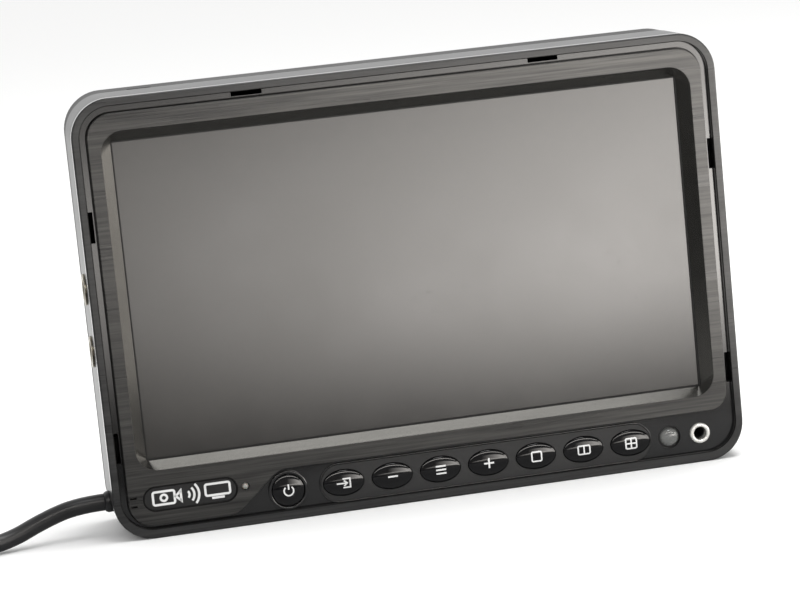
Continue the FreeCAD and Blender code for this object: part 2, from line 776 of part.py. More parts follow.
def make_display():
    """The display sandwich behind the window: foam gasket, glass cell, backlight tray and its ribbon."""
    body = new_body("screen_gasket")
    ring = new_sketch(body, "gasket_ring", -D.glass_front)
    middle = D.screen_base + D.screen_high / 2
    centred(ring, 0.0, middle, D.panel_wide - 1.0, D.panel_high - 1.0, 1.0)
    centred(ring, 0.0, middle, D.screen_width + 1.6, D.screen_high + 1.6, 0.5)
    pad(body, ring, D.glass_front - D.front_thickness)
    left = -D.panel_wide / 2
    glass_back = D.glass_front + D.glass_thick
    tray_back = glass_back + D.tray_thick
    add_box("screen_glass", left, D.panel_base, -glass_back, D.panel_wide, D.panel_high, D.glass_thick)
    body = new_body("backlight_tray")
    tray = new_sketch(body, "tray_outline", -tray_back)
    rounded_rectangle(tray, left, D.panel_base, D.panel_wide, D.panel_high, 1.0)
    pad(body, tray, D.tray_thick)
    dress(body, "Fillet", at_height(-value(tray_back)), 0.6)
    ribbon_wide = 24.0
    fold = block(-12.0, 58.0, -D.board_front + 1.0, ribbon_wide, 0.3, D.board_front - tray_back - 1.0)
    flat = block(-12.0, 34.0, -tray_back - 0.3, ribbon_wide, 24.3, 0.3)
    plug = block(-13.5, 55.0, -D.board_front, ribbon_wide + 3.0, 6.0, 1.0)
    add_shape("display_ribbon", fold.fuse(flat).fuse(plug).removeSplitter())


def make_boards():
    """The main board on the rear cover's posts, the key board behind the keys, and what is soldered to both."""
    board_back = D.board_front + D.board_thick
    body = new_body("main_board")
    outline = new_sketch(body, "board_outline", -board_back)
    board_middle = (D.board_low + D.board_high) / 2
    centred(outline, 0.0, board_middle, 2 * D.board_across + 14.0, D.board_high - D.board_low + 14.0, 2.0)
    screws = []
    for x in (-D.board_across, D.board_across):
        for y in (D.board_low, D.board_high):
            circle(outline, x, y, 2.6)
            screws.append(rod(x, y, -D.board_front, 4.4, 1.4).fuse(rod(x, y, -D.board_front - 8.0, 1.9, 8.0)))
    pad(body, outline, D.board_thick)
    add_shape("board_screws", Part.makeCompound([screw.removeSplitter() for screw in screws]))

    back = value(board_back)
    chips = [
        block(-22.0, 52.0, -back - 1.6, 20.0, 20.0, 1.6),
        block(10.0, 66.0, -back - 1.2, 12.0, 9.0, 1.2),
        block(12.0, 44.0, -back - 4.0, 9.0, 9.0, 4.0),
        block(-46.0, 40.0, -back - 3.0, 8.0, 8.0, 3.0),
        block(30.0, 30.0, -back - 6.0, 12.0, 6.0, 6.0),
        block(-52.0, 55.0, -back - 5.0, 6.0, 14.0, 5.0),
        block(-46.0, 21.2, -back - 5.0, 10.0, 6.0, 5.0),
        rod(-38.0, 84.0, -back - 10.0, 8.0, 10.0),
        rod(-26.0, 84.0, -back - 10.0, 8.0, 10.0),
        rod(32.0, 84.0, -back - 7.0, 6.3, 7.0),
        rod(40.0, 60.0, -back - 7.0, 6.3, 7.0),
    ]
    add_shape("board_components", Part.makeCompound(chips))

    key_back = D.key_board_front + D.key_board_thick
    add_box("key_board", -59.0, D.wall + 0.4, -key_back, 129.5, 11.4, D.key_board_thick)
    front = D.key_board_front
    switches = []
    for place in [D.power_place, *key_places()]:
        base = block(place - 2.5, D.control_line - 2.5, -front, 5.0, 5.0, 1.5)
        switches.append(base.fuse(rod(place, D.control_line, -front + 1.5, 2.0, 1.0)).removeSplitter())
    add_shape("key_switches", Part.makeCompound(switches))
    add_box("infrared_receiver", D.sensor_place - 3.0, D.control_line - 3.5, -front, 6.0, 7.0, 3.4)
    add_box("status_diode", D.light_place - 1.6, D.light_line - 1.0, -front, 3.2, 2.0, 1.2)
    rows = block(-8.0, 3.0, -key_back - 2.5, 16.0, 5.0, 2.5)
    drop = block(-6.0, 8.0, -key_back - 2.0, 12.0, 12.5, 0.3)
    rise = block(-6.0, 20.2, -D.board_front - 2.5, 12.0, 0.3, D.board_front - key_back + 0.8)
    add_shape("key_ribbon", rows.fuse(drop).fuse(rise).removeSplitter())
    shell = rod(D.mic_place, D.mic_line, -D.front_thickness - 2.7, 5.2, 2.7)
    add_shape("microphone", shell)
    inside = D.depth - D.wall
    magnet = rod(D.speaker_place, D.speaker_line, -inside + 2.4, D.speaker_wide / 2, 2.4)
    cone = rod(D.speaker_place, D.speaker_line, -inside, D.speaker_wide, 2.4)
    add_shape("speaker", cone.fuse(magnet).removeSplitter())


def make_fixings():
    """Four rear screws, and the four threaded brass inserts that a bracket's hand screws go into."""
    screws = []
    for x in (-D.fixing_across, D.fixing_across):
        for y in (D.fixing_low, D.fixing_high):
            seat = -D.depth + 6.0
            head = rod(x, y, seat - 2.0, 5.0, 2.0)
            cross = block(x - 1.3, y - 0.3, seat - 2.0, 2.6, 0.6, 1.0)
            cross = cross.fuse(block(x - 0.3, y - 1.3, seat - 2.0, 0.6, 2.6, 1.0))
            screws.append(head.cut(cross).fuse(rod(x, y, seat, 2.4, 12.5)).removeSplitter())
    add_shape("rear_screws", Part.makeCompound(screws))
    bore = D.insert_bore / 2
    barrel = D.insert_barrel / 2
    profile = [
        (bore, -D.insert_reach),
        (barrel, -D.insert_reach),
        (barrel, 0.0),
        (D.insert_flange / 2, 0.0),
        (D.insert_flange / 2, D.insert_proud),
        (bore, D.insert_proud),
    ]
    for hand, side in (("left", -1), ("right", 1)):
        for level, step in (("lower", -1), ("upper", 1)):
            line = D.insert_line + step * D.insert_pitch / 2
            place = sideways(side * D.width / 2, line, -D.insert_depth, side)
            turned(f"{hand}_{level}_insert", profile, place)
            dress(nodes[-1], "Chamfer", at_height(value(D.insert_proud)), 0.2)


# The lead's centre line, point by point from the gland to the hank, and from the hank to the plug.
LEAD_ROUTE = [
    (-88.9, -5.0, 9.5),
    (-96.5, -5.0, 9.5),
    (-106.0, -5.6, 6.7),
    (-115.0, -7.0, 3.0),
    (-124.5, -9.6, 2.4),
    (-133.0, -12.6, 2.35),
    (-141.0, -13.8, 2.35),
]
TAIL_ROUTE = [
    (-193.0, -12.0, 11.9),
    (-201.0, -10.5, 11.4),
    (-210.0, -8.4, 9.2),
    (-219.0, -7.0, 7.6),
    (-227.0, -7.0, 7.6),
]
CORE_ROUTE = [
    (-82.8, -5.0, 9.5),
    (-76.0, -5.0, 9.5),
    (-68.0, -2.0, 12.0),
    (-60.5, 1.4, 16.8),
    (-53.5, 1.6, 21.0),
    (-47.4, 1.6, 22.7),
]


def tube(route, diameter, name):
    """A cord's solid: straight runs joined by arcs, each of 0.45 of its shorter run over tan(half the turn)."""
    points = [Vector(*point) for point in route]
    edges = []
    start = points[0]
    for before, corner, after in zip(points, points[1:], points[2:]):
        into = (corner - before).normalize()
        out = (after - corner).normalize()
        turn = into.getAngle(out)
        reach = 0.45 * min((corner - before).Length, (after - corner).Length)
        radius = reach / math.tan(turn / 2)
        print(f"{name}: turn {math.degrees(turn):.1f} degrees, radius {radius:.1f} mm")
        enter = corner - into * reach
        leave = corner + out * reach
        inward = (out - into).normalize()
        middle = corner + inward * (radius / math.cos(turn / 2) - radius)
        edges.append(Part.LineSegment(start, enter).toShape())
        edges.append(Part.Arc(enter, middle, leave).toShape())
        start = leave
    edges.append(Part.LineSegment(start, points[-1]).toShape())
    path = Part.Wire(edges)
    direction = points[1] - points[0]
    ring = Part.Wire([Part.Circle(points[0], direction, diameter / 2).toShape()])
    solid = path.makePipeShell([ring], True, False)
    expected = math.pi * (diameter / 2) ** 2 * path.Length
    if abs(solid.Volume / expected - 1) > 0.01:
        raise RuntimeError(f"{name} swept to {solid.Volume:.0f}, not {expected:.0f} cubic mm")
    return solid


def prism(corners, base, top):
    """An upright block over a polygon of (x, y) corners."""
    points = [Vector(x, y, base) for x, y in corners]
    return Part.Face(Part.makePolygon([*points, points[0]])).extrude(Vector(0, 0, top - base))


def make_lead():
    """The lead that hangs out of the left wall, its spare length tied in a hank, and its round plug."""
    upright = Placement()
    wide = value(D.lead_wide)
    gland = D.gland_wide / 2
    turned(
        "lead_gland",
        [(0.0, -4.5), (gland, -4.5), (gland, 0.4), (gland - 0.35, D.gland_proud), (0.0, D.gland_proud)],
        sideways(-D.width / 2, D.gland_line, -D.gland_depth, -1),
    )
    add_shape("lead_run", tube(LEAD_ROUTE, wide, "lead_run"), upright)
    add_shape("lead_core", tube(CORE_ROUTE, 3.6, "lead_core"), upright)

    radius = value(D.hank_wide) / 2
    top = value(D.hank_high) + 0.3
    waist = value(D.hank_waist) / 2
    near = value(D.hank_end) - radius
    far = value(D.hank_end - D.hank_long) + radius
    middle = (near + far) / 2
    half_tie = value(D.tie_long) / 2
    hank = prism([(middle - 9, -waist), (middle + 9, -waist), (middle + 9, waist), (middle - 9, waist)],
                 value(D.hank_skin), top)
    for end, side in ((near, -1), (far, 1)):
        hank = hank.fuse(Part.makeCylinder(radius, top, Vector(end, 0, 0)))
        neck = middle - side * (half_tie + 1)
        hank = hank.fuse(prism([(end, -radius), (neck, -waist), (neck, waist), (end, radius)], 0, top))
    add_shape("lead_hank", hank.removeSplitter(), upright)
    band = value(D.hank_skin)
    outer = Part.makeBox(2 * half_tie, 2 * (waist + band), top + band, Vector(middle - half_tie, -waist - band, 0))
    hole = Part.makeBox(2 * half_tie, 2 * waist, top - band, Vector(middle - half_tie, -waist, band))
    add_shape("hank_tie", outer.cut(hole), upright)
    add_shape("lead_tail", tube(TAIL_ROUTE, wide, "lead_tail"), upright)

    def along(offset):
        place = Vector(value(D.plug_start) - offset, value(D.plug_across), value(D.plug_line))
        return Placement(place, Rotation(Vector(0, 1, 0), -90))

    ring = D.plug_wide / 2
    turned("plug_boot", [(0.0, 0.0), (D.lead_wide / 2 + 0.5, 0.0), (4.6, 14.0), (0.0, 14.0)], along(0))
    turned("plug_shell", [(0.0, 0.0), (6.3, 0.0), (6.3, 9.0), (5.6, 9.0), (5.6, 16.0), (0.0, 16.0)], along(14))
    turned("plug_ring", [(5.8, 0.0), (ring, 0.0), (ring, 9.5), (5.8, 9.5)], along(23.2))
    dress(nodes[-1], "Chamfer", at_height(9.5), 0.4)
    pins = []
    for number in range(8):
        angle = 2 * math.pi * (number + 0.5) / 8
        pins.append(rod(3.4 * math.cos(angle), 3.4 * math.sin(angle), 0.0, 1.0, 1.2))
    add_shape("plug_pins", Part.makeCompound(pins), along(30))


make_front_frame()
make_face_plate()
make_rear_cover()
make_keys()
make_front_fittings()
make_display()
make_boards()
make_fixings()
make_lead()
doc.recompute()

for item in doc.Objects:
    if "Invalid" in item.State or "Error" in item.State:
        raise RuntimeError(f"{item.Name} did not compute: {item.State}")
for node in nodes:
    if node.Shape.isNull() or not node.Shape.isValid():
        raise RuntimeError(f"{node.Label} has no valid shape")

os.makedirs("parts", exist_ok=True)
for node in nodes:
    node.Shape.exportStep(f"parts/{node.Label}.step")
print(f"{len(nodes)} nodes written")
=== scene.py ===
import math

import bmesh
import bpy
import numpy as np
from mathutils import Matrix, Vector


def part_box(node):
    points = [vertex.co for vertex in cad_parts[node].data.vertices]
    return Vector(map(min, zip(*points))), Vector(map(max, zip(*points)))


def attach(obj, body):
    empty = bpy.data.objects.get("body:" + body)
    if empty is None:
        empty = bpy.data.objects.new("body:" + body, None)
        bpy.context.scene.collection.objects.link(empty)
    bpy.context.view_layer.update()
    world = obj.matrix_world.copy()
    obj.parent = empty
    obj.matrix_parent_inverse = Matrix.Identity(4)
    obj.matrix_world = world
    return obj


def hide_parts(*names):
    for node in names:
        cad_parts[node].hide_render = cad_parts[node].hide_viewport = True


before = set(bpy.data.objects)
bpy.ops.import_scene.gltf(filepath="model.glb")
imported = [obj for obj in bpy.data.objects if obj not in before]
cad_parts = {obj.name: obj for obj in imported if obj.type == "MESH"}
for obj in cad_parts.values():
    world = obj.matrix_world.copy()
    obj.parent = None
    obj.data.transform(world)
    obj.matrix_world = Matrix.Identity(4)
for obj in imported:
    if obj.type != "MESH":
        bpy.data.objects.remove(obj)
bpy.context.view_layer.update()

# ---------------------------------------------------------------------------------------------------------
# Viewpoint: a long lens on a tripod, a little to the left of the monitor and a little above it, held with
# a slight turn so that the monitor leans to the left in the picture.
MM = 0.001
scene = bpy.context.scene
case_low, case_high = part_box("front_frame")
face_y = case_low.y
aim_left, aim_down = 5.04 * MM, 3.49 * MM
aim = Vector(((case_low.x + case_high.x) / 2 - aim_left, face_y, case_high.z / 2 - aim_down))
azimuth, elevation, tilt = math.radians(10.206), math.radians(9.254), math.radians(-5.632)
distance = 768.2 * MM

flat = math.cos(elevation)
back = Vector((-math.sin(azimuth) * flat, -math.cos(azimuth) * flat, math.sin(elevation)))
level = Vector((0, 0, 1)).cross(back).normalized()
upward = back.cross(level)
camera = bpy.data.objects.new("camera", bpy.data.cameras.new("camera"))
scene.collection.objects.link(camera)
camera.data.sensor_width = 36.0
camera.data.lens = 129.2
camera.data.clip_start, camera.data.clip_end = 0.05, 40.0
to_right = level * math.cos(tilt) + upward * math.sin(tilt)
to_top = upward * math.cos(tilt) - level * math.sin(tilt)
axes = Matrix((to_right, to_top, back))
camera.matrix_world = Matrix.Translation(aim + back * distance) @ axes.transposed().to_4x4()
scene.camera = camera
scene.view_settings.view_transform = "Standard"


# ---------------------------------------------------------------------------------------------------------
# Studio: a pale floor in an even white room with a soft light overhead. Gloss sees the half of the room in
# front as dark, with graded cards in it: two on the floor, one standing behind them, one at the right and
# a strip above.
def add(tree, kind, settings=None, **sockets):
    """A node of that kind; each socket is given by name, or by _ and its number, as a number or as the
    output that feeds it."""
    made = tree.nodes.new(kind)
    for label, setting in (settings or {}).items():
        setattr(made, label, setting)
    for label, given in sockets.items():
        socket = made.inputs[int(label[1:])] if label[0] == "_" else made.inputs[label.replace("_", " ")]
        if isinstance(given, bpy.types.NodeSocket):
            tree.links.new(given, socket)
        else:
            socket.default_value = given
    return made


def calculate(tree, operation, *values):
    """The output of a Math node on those numbers or outputs."""
    sockets = {f"_{number}": value for number, value in enumerate(values)}
    return add(tree, "ShaderNodeMath", {"operation": operation}, **sockets).outputs[0]


def contrast(tree, value, low, high):
    """The value stretched so that low becomes 0 and high becomes 1, and clamped."""
    return add(tree, "ShaderNodeMapRange", Value=value, From_Min=low, From_Max=high).outputs["Result"]


def card(name, corners):
    """A flat four-cornered stage surface."""
    mesh = bpy.data.meshes.new(name)
    mesh.from_pydata(corners, [], [(0, 1, 2, 3)])
    piece = bpy.data.objects.new(name, mesh)
    scene.collection.objects.link(piece)
    return piece


def seen_by_gloss(tree, shade_off):
    """1 for every ray but a glossy one, for which it is 1 less the shade."""
    gloss = add(tree, "ShaderNodeLightPath").outputs["Is Glossy Ray"]
    return calculate(tree, "SUBTRACT", 1.0, calculate(tree, "MULTIPLY", gloss, shade_off))


def lying(left, right, front, rear, height):
    """Corners of a level card at that height."""
    return [(left, front, height), (right, front, height), (right, rear, height), (left, rear, height)]


def standing(left_foot, right_foot, low, high):
    """Corners of an upright card between two feet, each an x and a y."""
    return [(*left_foot, low), (*right_foot, low), (*right_foot, high), (*left_foot, high)]


floor = card("floor", lying(-9, 9, -9, 12, 0))
floor_paper = bpy.data.materials.new("floor_paper")
floor_paper.use_nodes = True
tree = floor_paper.node_tree
shader = tree.nodes["Principled BSDF"]
shader.inputs["Roughness"].default_value = 0.9
shader.inputs["Specular IOR Level"].default_value = 0.1
# Painted shade: glossy rays see the floor's colour turned to black in front of the case, a little less at
# the right, so that what the case mirrors there is dark.
floor_spot = add(tree, "ShaderNodeSeparateXYZ", Vector=add(tree, "ShaderNodeTexCoord").outputs["Object"])
shade_at_left, shade_at_right = 0.97, 0.77
rightward = contrast(tree, floor_spot.outputs["X"], -0.2, -0.05)
shade = calculate(tree, "MULTIPLY_ADD", rightward, shade_at_right - shade_at_left, shade_at_left)
in_front = contrast(tree, calculate(tree, "MULTIPLY", floor_spot.outputs["Y"], -1.0), -0.06, 0.03)
in_front = calculate(tree, "MULTIPLY", in_front, shade)
paper_and_gloss_shade = add(
    tree, "ShaderNodeMix", {"data_type": "RGBA"}, _0=seen_by_gloss(tree, in_front),
    _6=(0.0, 0.0, 0.0, 1), _7=(0.93, 0.93, 0.925, 1),
)
tree.links.new(paper_and_gloss_shade.outputs[2], shader.inputs["Base Color"])
floor.data.materials.append(floor_paper)

world = bpy.data.worlds.new("room")
world.use_nodes = True
tree = world.node_tree
room_shade = 0.82
heading = add(tree, "ShaderNodeSeparateXYZ", Vector=add(tree, "ShaderNodeTexCoord").outputs["Generated"])
towards_front = contrast(tree, calculate(tree, "MULTIPLY", heading.outputs["Y"], -1.0), -0.5, 0.1)
room_front = calculate(tree, "MULTIPLY", towards_front, room_shade)
tree.links.new(seen_by_gloss(tree, room_front), tree.nodes["Background"].inputs["Strength"])
tree.nodes["Background"].inputs["Color"].default_value = (1.0, 1.0, 1.0, 1)
scene.world = world


def glow_card(name, corners, low, high, left=-0.5, right=0.45, near=0.2, far=0.19):
    """A card that only gloss sees. Its light grows from low to high with the bearing x over -y, from the
    left bearing to the right one, and fades in from the near y to the far y with the square of the share
    between."""
    piece = card(name, corners)
    piece.visible_camera = piece.visible_diffuse = piece.visible_shadow = False
    piece.visible_transmission = False
    glow = bpy.data.materials.new(f"{name}_glow")
    glow.use_nodes = True
    tree = glow.node_tree
    tree.nodes.remove(tree.nodes["Principled BSDF"])
    spot = add(tree, "ShaderNodeSeparateXYZ", Vector=add(tree, "ShaderNodeTexCoord").outputs["Object"])
    ahead = calculate(tree, "MULTIPLY", spot.outputs["Y"], -1.0)
    bearing = contrast(tree, calculate(tree, "DIVIDE", spot.outputs["X"], ahead), left, right)
    fade = calculate(tree, "POWER", contrast(tree, ahead, -near, -far), 2.0)
    strength = calculate(tree, "MULTIPLY", calculate(tree, "MULTIPLY_ADD", bearing, high - low, low), fade)
    emitted = add(tree, "ShaderNodeEmission", Color=(1.0, 0.96, 0.915, 1), Strength=strength)
    tree.links.new(emitted.outputs[0], tree.nodes["Material Output"].inputs["Surface"])
    piece.data.materials.append(glow)


glow_card("floor_glow", lying(-0.9, 1.4, -0.95, -0.07, 0.4 * MM), 0.3, 9.4, -0.33, 0.4, -0.05, -0.29)
glow_card("side_glow", lying(0.13, 0.9, -0.25, -0.03, 0.7 * MM), 3.4, 3.4)
glow_card("front_card", standing((-0.7, -0.95), (1.4, -0.95), 0.0, 0.26), 0.2, 6.4, left=0.06, right=0.62)
glow_card("right_card", standing((1.0, -0.95), (1.15, 0.05), 0.0, 0.4), 5.0, 5.0)
glow_card("strip_card", standing((-1.2, -0.9), (1.1, -0.9), 0.55, 0.67), 9.0, 9.0)


def soft_light(name, place, towards, wide, high, power):
    """A rectangular area light aimed at a point."""
    lamp = bpy.data.lights.new(name, "AREA")
    lamp.shape, lamp.size, lamp.size_y, lamp.energy = "RECTANGLE", wide, high, power
    holder = bpy.data.objects.new(name, lamp)
    scene.collection.objects.link(holder)
    holder.location = place
    holder.rotation_euler = (Vector(towards) - Vector(place)).to_track_quat("-Z", "Y").to_euler()


soft_light("overhead", (0.2, -0.05, 1.1), (0.0, 0.0, 0.05), 0.95, 0.45, 9.0)

# ---------------------------------------------------------------------------------------------------------
# Lead: a round 4.6 mm PVC-jacketed cable. It leaves the left wall, sinks to the floor, is folded into a hank
# of two and a half laps with one tie round its waist, and ends in a round plug that lies on the same floor.
lead_thick = 4.6 * MM
lead_start = [
    (-88.9, -5.0, 9.5),
    (-96.5, -5.0, 9.5),
    (-106.0, -5.6, 6.7),
    (-115.0, -7.0, 3.0),
    (-124.5, -9.6, 2.4),
    (-133.0, -12.6, 2.35),
    (-141.0, -13.8, 2.35),
]
lead_finish = [
    (-193.0, -12.0, 11.9),
    (-201.0, -10.5, 11.4),
    (-210.0, -8.4, 9.2),
    (-219.0, -7.0, 7.6),
    (-227.0, -7.0, 7.6),
    (-233.0, -7.0, 7.6),
]
hank_low, hank_high = (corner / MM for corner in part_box("lead_hank"))
hank_middle = (hank_low.x + hank_high.x) / 2
fold_radius, fold_steps = 13.6, 10
pass_steps = 4
half_laps = 5
loop_reach = (hank_high.x - hank_low.x) / 2 - fold_radius - lead_thick / MM / 2
layer_tuck = 0.9
waist_gap = 3.0
waist_rise = waist_gap + fold_radius
lean = math.atan2(waist_rise, loop_reach)
fold_rest, fold_climb = 2.35, 4.7
pass_rest, pass_climb = 3.0, 4.5


def fold(side, layer, climb, first=0, last=fold_steps):
    """Control points of one end loop, or of part of its steps: an arc about a centre on the hank's axis,
    taken clockwise at the near end and at the far end alike, each point outside the arc by 1/cos of half a
    step."""
    half = math.pi - lean
    turn = ((np.arange(first, last) + 0.5) * 2 / fold_steps - 1) * half
    wide = fold_radius / math.cos(half / fold_steps)
    reach = loop_reach - layer_tuck * layer
    x = hank_middle + side * (reach + wide * np.cos(turn))
    rise = layer + climb * (turn / half + 1) / 2
    return np.stack([x, -side * wide * np.sin(turn), fold_rest + fold_climb * rise], 1)


def side_pass(side, layer):
    """Control points of one side between the loops: an arc of the same radius that bends in towards the
    waist."""
    half = math.pi / 2 - lean
    turn = ((np.arange(pass_steps) + 0.5) * 2 / pass_steps - 1) * half
    wide = fold_radius / math.cos(half / pass_steps)
    x = hank_middle + side * wide * np.sin(turn)
    y = side * (waist_rise - wide * np.cos(turn))
    return np.stack([x, y, np.full(pass_steps, pass_rest + pass_climb * layer)], 1)


hank_route = [fold(1, 0, 0, first=8)]
for half_lap in range(half_laps):
    side, layer = (1, half_lap // 2) if half_lap % 2 else (-1, half_lap // 2)
    hank_route.append(side_pass(side, layer))
    if half_lap < half_laps - 1:
        hank_route.append(fold(side, layer, 1 if side > 0 else 0))
hank_route.append(fold(-1, 2, 0, last=2))


def lead_curve(name, points, thick):
    """A round cord along one smooth spline with those control points, in millimetres. Each point's radius
    is the cord's own, on a bevel of one, so that the curve's box is no larger than the cord."""
    curve = bpy.data.curves.new(name, "CURVE")
    curve.dimensions = "3D"
    curve.bevel_depth, curve.bevel_resolution, curve.resolution_u = 1.0, 7, 7
    curve.use_fill_caps = True
    spline = curve.splines.new("NURBS")
    spline.points.add(len(points) - 1)
    spline.points.foreach_set("co", np.c_[np.array(points) * MM, np.ones(len(points))].ravel())
    spline.points.foreach_set("radius", np.full(len(points), thick / 2))
    spline.order_u = 3
    spline.use_endpoint_u = True
    piece = bpy.data.objects.new(name, curve)
    scene.collection.objects.link(piece)
    return piece


lead = lead_curve("lead", np.concatenate([lead_start, *hank_route, lead_finish]), lead_thick)
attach(lead, "casing")
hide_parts("lead_run", "lead_hank", "lead_tail")


# Every moulding has a fine relief and a slow change of tone. Such an effect is a shader node group on Object
# coordinates that puts out Height, Tone and Shine; the first is the grain that a spark-eroded mould leaves.
def group(name, **inputs):
    """A new shader node group with these number inputs and their usual values, and the three outputs."""
    made = bpy.data.node_groups.new(name, "ShaderNodeTree")
    for label, usual in inputs.items():
        made.interface.new_socket(label, in_out="INPUT", socket_type="NodeSocketFloat").default_value = usual
    for label in ("Height", "Tone", "Shine"):
        made.interface.new_socket(label, in_out="OUTPUT", socket_type="NodeSocketFloat")
    return made


def stretched(tree, x, y, z):
    """Object coordinates times one factor a side, for lines and grain that run one way."""
    place = add(tree, "ShaderNodeTexCoord").outputs["Object"]
    factors = add(tree, "ShaderNodeCombineXYZ", X=x, Y=y, Z=z).outputs[0]
    return add(tree, "ShaderNodeVectorMath", {"operation": "MULTIPLY"}, _0=place, _1=factors).outputs[0]


def noise(tree, place, detail=2.0, roughness=0.5):
    """The value of a noise at that place, which already has its scale."""
    made = add(tree, "ShaderNodeTexNoise", Vector=place, Scale=1.0, Detail=detail, Roughness=roughness)
    return made.outputs["Fac"]


def put_out(tree, height, tone, shine):
    """The group's output node, fed with its three values."""
    add(tree, "NodeGroupOutput", Height=height, Tone=tone, Shine=shine)


grain = group("moulded_grain", Cells=2600.0, Cloud=45.0)
entry = grain.nodes.new("NodeGroupInput")
cells, cloud = entry.outputs["Cells"], entry.outputs["Cloud"]
fine = noise(grain, stretched(grain, cells, cells, cells), 3.0, 0.6)
slow = contrast(grain, noise(grain, stretched(grain, cloud, cloud, cloud), 4.0, 0.62), 0.3, 0.7)
uneven = calculate(grain, "MULTIPLY_ADD", fine, 0.45, calculate(grain, "MULTIPLY", slow, 0.55))
put_out(grain, fine, slow, uneven)


def finish(name, effect, dark, light, gloss, relief=0.0, numbers=None, **plain):
    """A material: colour goes from dark to light with the effect's Tone, roughness from gloss[0] to
    gloss[1] with its Shine, and its Height is a relief of that many metres; plain values are set on the
    shader's own sockets."""
    material = bpy.data.materials.new(name)
    material.use_nodes = True
    tree = material.node_tree
    shader = tree.nodes["Principled BSDF"]
    source = add(tree, "ShaderNodeGroup", {"node_tree": effect}, **(numbers or {}))
    ends = {"_6": (*dark, 1), "_7": (*light, 1)}
    colour = add(tree, "ShaderNodeMix", {"data_type": "RGBA"}, _0=source.outputs["Tone"], **ends)
    tree.links.new(colour.outputs[2], shader.inputs["Base Color"])
    rough = add(tree, "ShaderNodeMapRange", Value=source.outputs["Shine"], To_Min=gloss[0], To_Max=gloss[1])
    tree.links.new(rough.outputs["Result"], shader.inputs["Roughness"])
    if relief:
        bump = add(tree, "ShaderNodeBump", Height=source.outputs["Height"], Distance=relief, Strength=1.0)
        tree.links.new(bump.outputs["Normal"], shader.inputs["Normal"])
    for label, number in plain.items():
        shader.inputs[label.replace("_", " ")].default_value = number
    material.diffuse_color = (*light, 1)
    return material


def wear(material, *names):
    """Gives the material to those CAD nodes."""
    for name in names:
        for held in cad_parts[name].material_slots:
            held.material = material


lead_rubber = finish(
    "lead_rubber", grain, (0.007, 0.007, 0.008), (0.014, 0.014, 0.015), (0.26, 0.4), 3e-6,
    {"Cells": 3500.0, "Cloud": 90.0},
)
lead.data.materials.append(lead_rubber)
wear(lead_rubber, "lead_core")

# ---------------------------------------------------------------------------------------------------------
# Lead collar: a short moulded PVC sleeve gripped by the left wall, with one rounded lip outside and a
# rounded nose.
def skin(name, table, body, material, ring=False, crease=38):
    """A closed skin over a table of points, with a row for each station and a column for each step round
    it. Quads join neighbours and the last column meets the first. A ring also joins its last row to its
    first; any other skin gets a flat face at each end, or a pole where a row shrinks to a point. Sides
    past the crease are sharp."""
    stations, steps = table.shape[:2]
    index = np.arange(stations * steps).reshape(stations, steps)
    rows = np.vstack([index, index[:1]]) if ring else index
    turned_on = np.roll(rows, -1, axis=1)
    faces = np.stack([rows[:-1], turned_on[:-1], turned_on[1:], rows[1:]], -1).reshape(-1, 4).tolist()
    if not ring:
        faces += [index[0].tolist(), index[-1].tolist()]
    mesh = bpy.data.meshes.new(name)
    mesh.from_pydata(table.reshape(-1, 3).tolist(), [], faces)
    sewn = bmesh.new()
    sewn.from_mesh(mesh)
    bmesh.ops.remove_doubles(sewn, verts=sewn.verts, dist=1e-7)
    bmesh.ops.recalc_face_normals(sewn, faces=sewn.faces)
    sewn.to_mesh(mesh)
    sewn.free()
    mesh.polygons.foreach_set("use_smooth", np.ones(len(mesh.polygons), bool))
    mesh.set_sharp_from_angle(angle=math.radians(crease))
    mesh.materials.append(material)
    piece = bpy.data.objects.new(name, mesh)
    scene.collection.objects.link(piece)
    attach(piece, body)
    return piece


def eased(corners, ease, steps=6):
    """An open outline whose inner corners are quadratic curves, each starting and ending that far from its
    corner, or half a side away where the side is short."""
    corners = np.array(corners, float)
    share = np.linspace(0, 1, steps)[:, None]
    line = [corners[:1]]
    for before, corner, after in zip(corners[:-2], corners[1:-1], corners[2:]):
        start, end = (
            corner + (other - corner) * min(0.5, ease / np.linalg.norm(other - corner))
            for other in (before, after)
        )
        line.append((1 - share) ** 2 * start + 2 * share * (1 - share) * corner + share**2 * end)
    return np.concatenate([*line, corners[-1:]])


def turned(profile, place, steps=72, flutes=0, flute_deep=0.0, flute_from=0.0):
    """Points of a profile of (along, radius) in millimetres carried round an axis: radius times the cosine
    and sine of the turn. Flutes take up to flute_deep off the radius where it is over flute_from, as a
    cosine of the turn."""
    along, radius = np.array(profile, float).T[..., None]
    turn = np.linspace(0, 2 * np.pi, steps, endpoint=False)
    cut = flute_deep * (0.5 - 0.5 * np.cos(flutes * turn)) * (radius > flute_from)
    radius = radius - cut
    local = np.stack([radius * np.cos(turn), radius * np.sin(turn), along + 0 * turn], -1) * MM
    place = np.array(place)
    return local @ place[:3, :3].T + place[:3, 3]


def facing(direction, centre):
    """A place whose own Z points that way from the centre."""
    turn = Vector(direction).to_track_quat("Z", "Y").to_matrix().to_4x4()
    return Matrix.Translation(centre) @ turn


def middle(name):
    """The middle of a CAD node's box."""
    low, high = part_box(name)
    return (low + high) / 2


def face_middle(name, direction):
    """The middle of the face of a CAD node's box that looks that way, along an axis."""
    low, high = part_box(name)
    return middle(name) + Vector(np.multiply(direction, high - low) / 2)


gland_place = facing((-1, 0, 0), face_middle("lead_gland", (1, 0, 0)))
gland_profile = eased([(0, 0), (0, 2.85), (4.4, 2.85), (4.5, 2.9), (5.2, 2.9), (6.05, 2.5), (6.1, 0)], 0.35)
collar = skin("lead_collar", turned(gland_profile, gland_place), "casing", lead_rubber)
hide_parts("lead_gland")

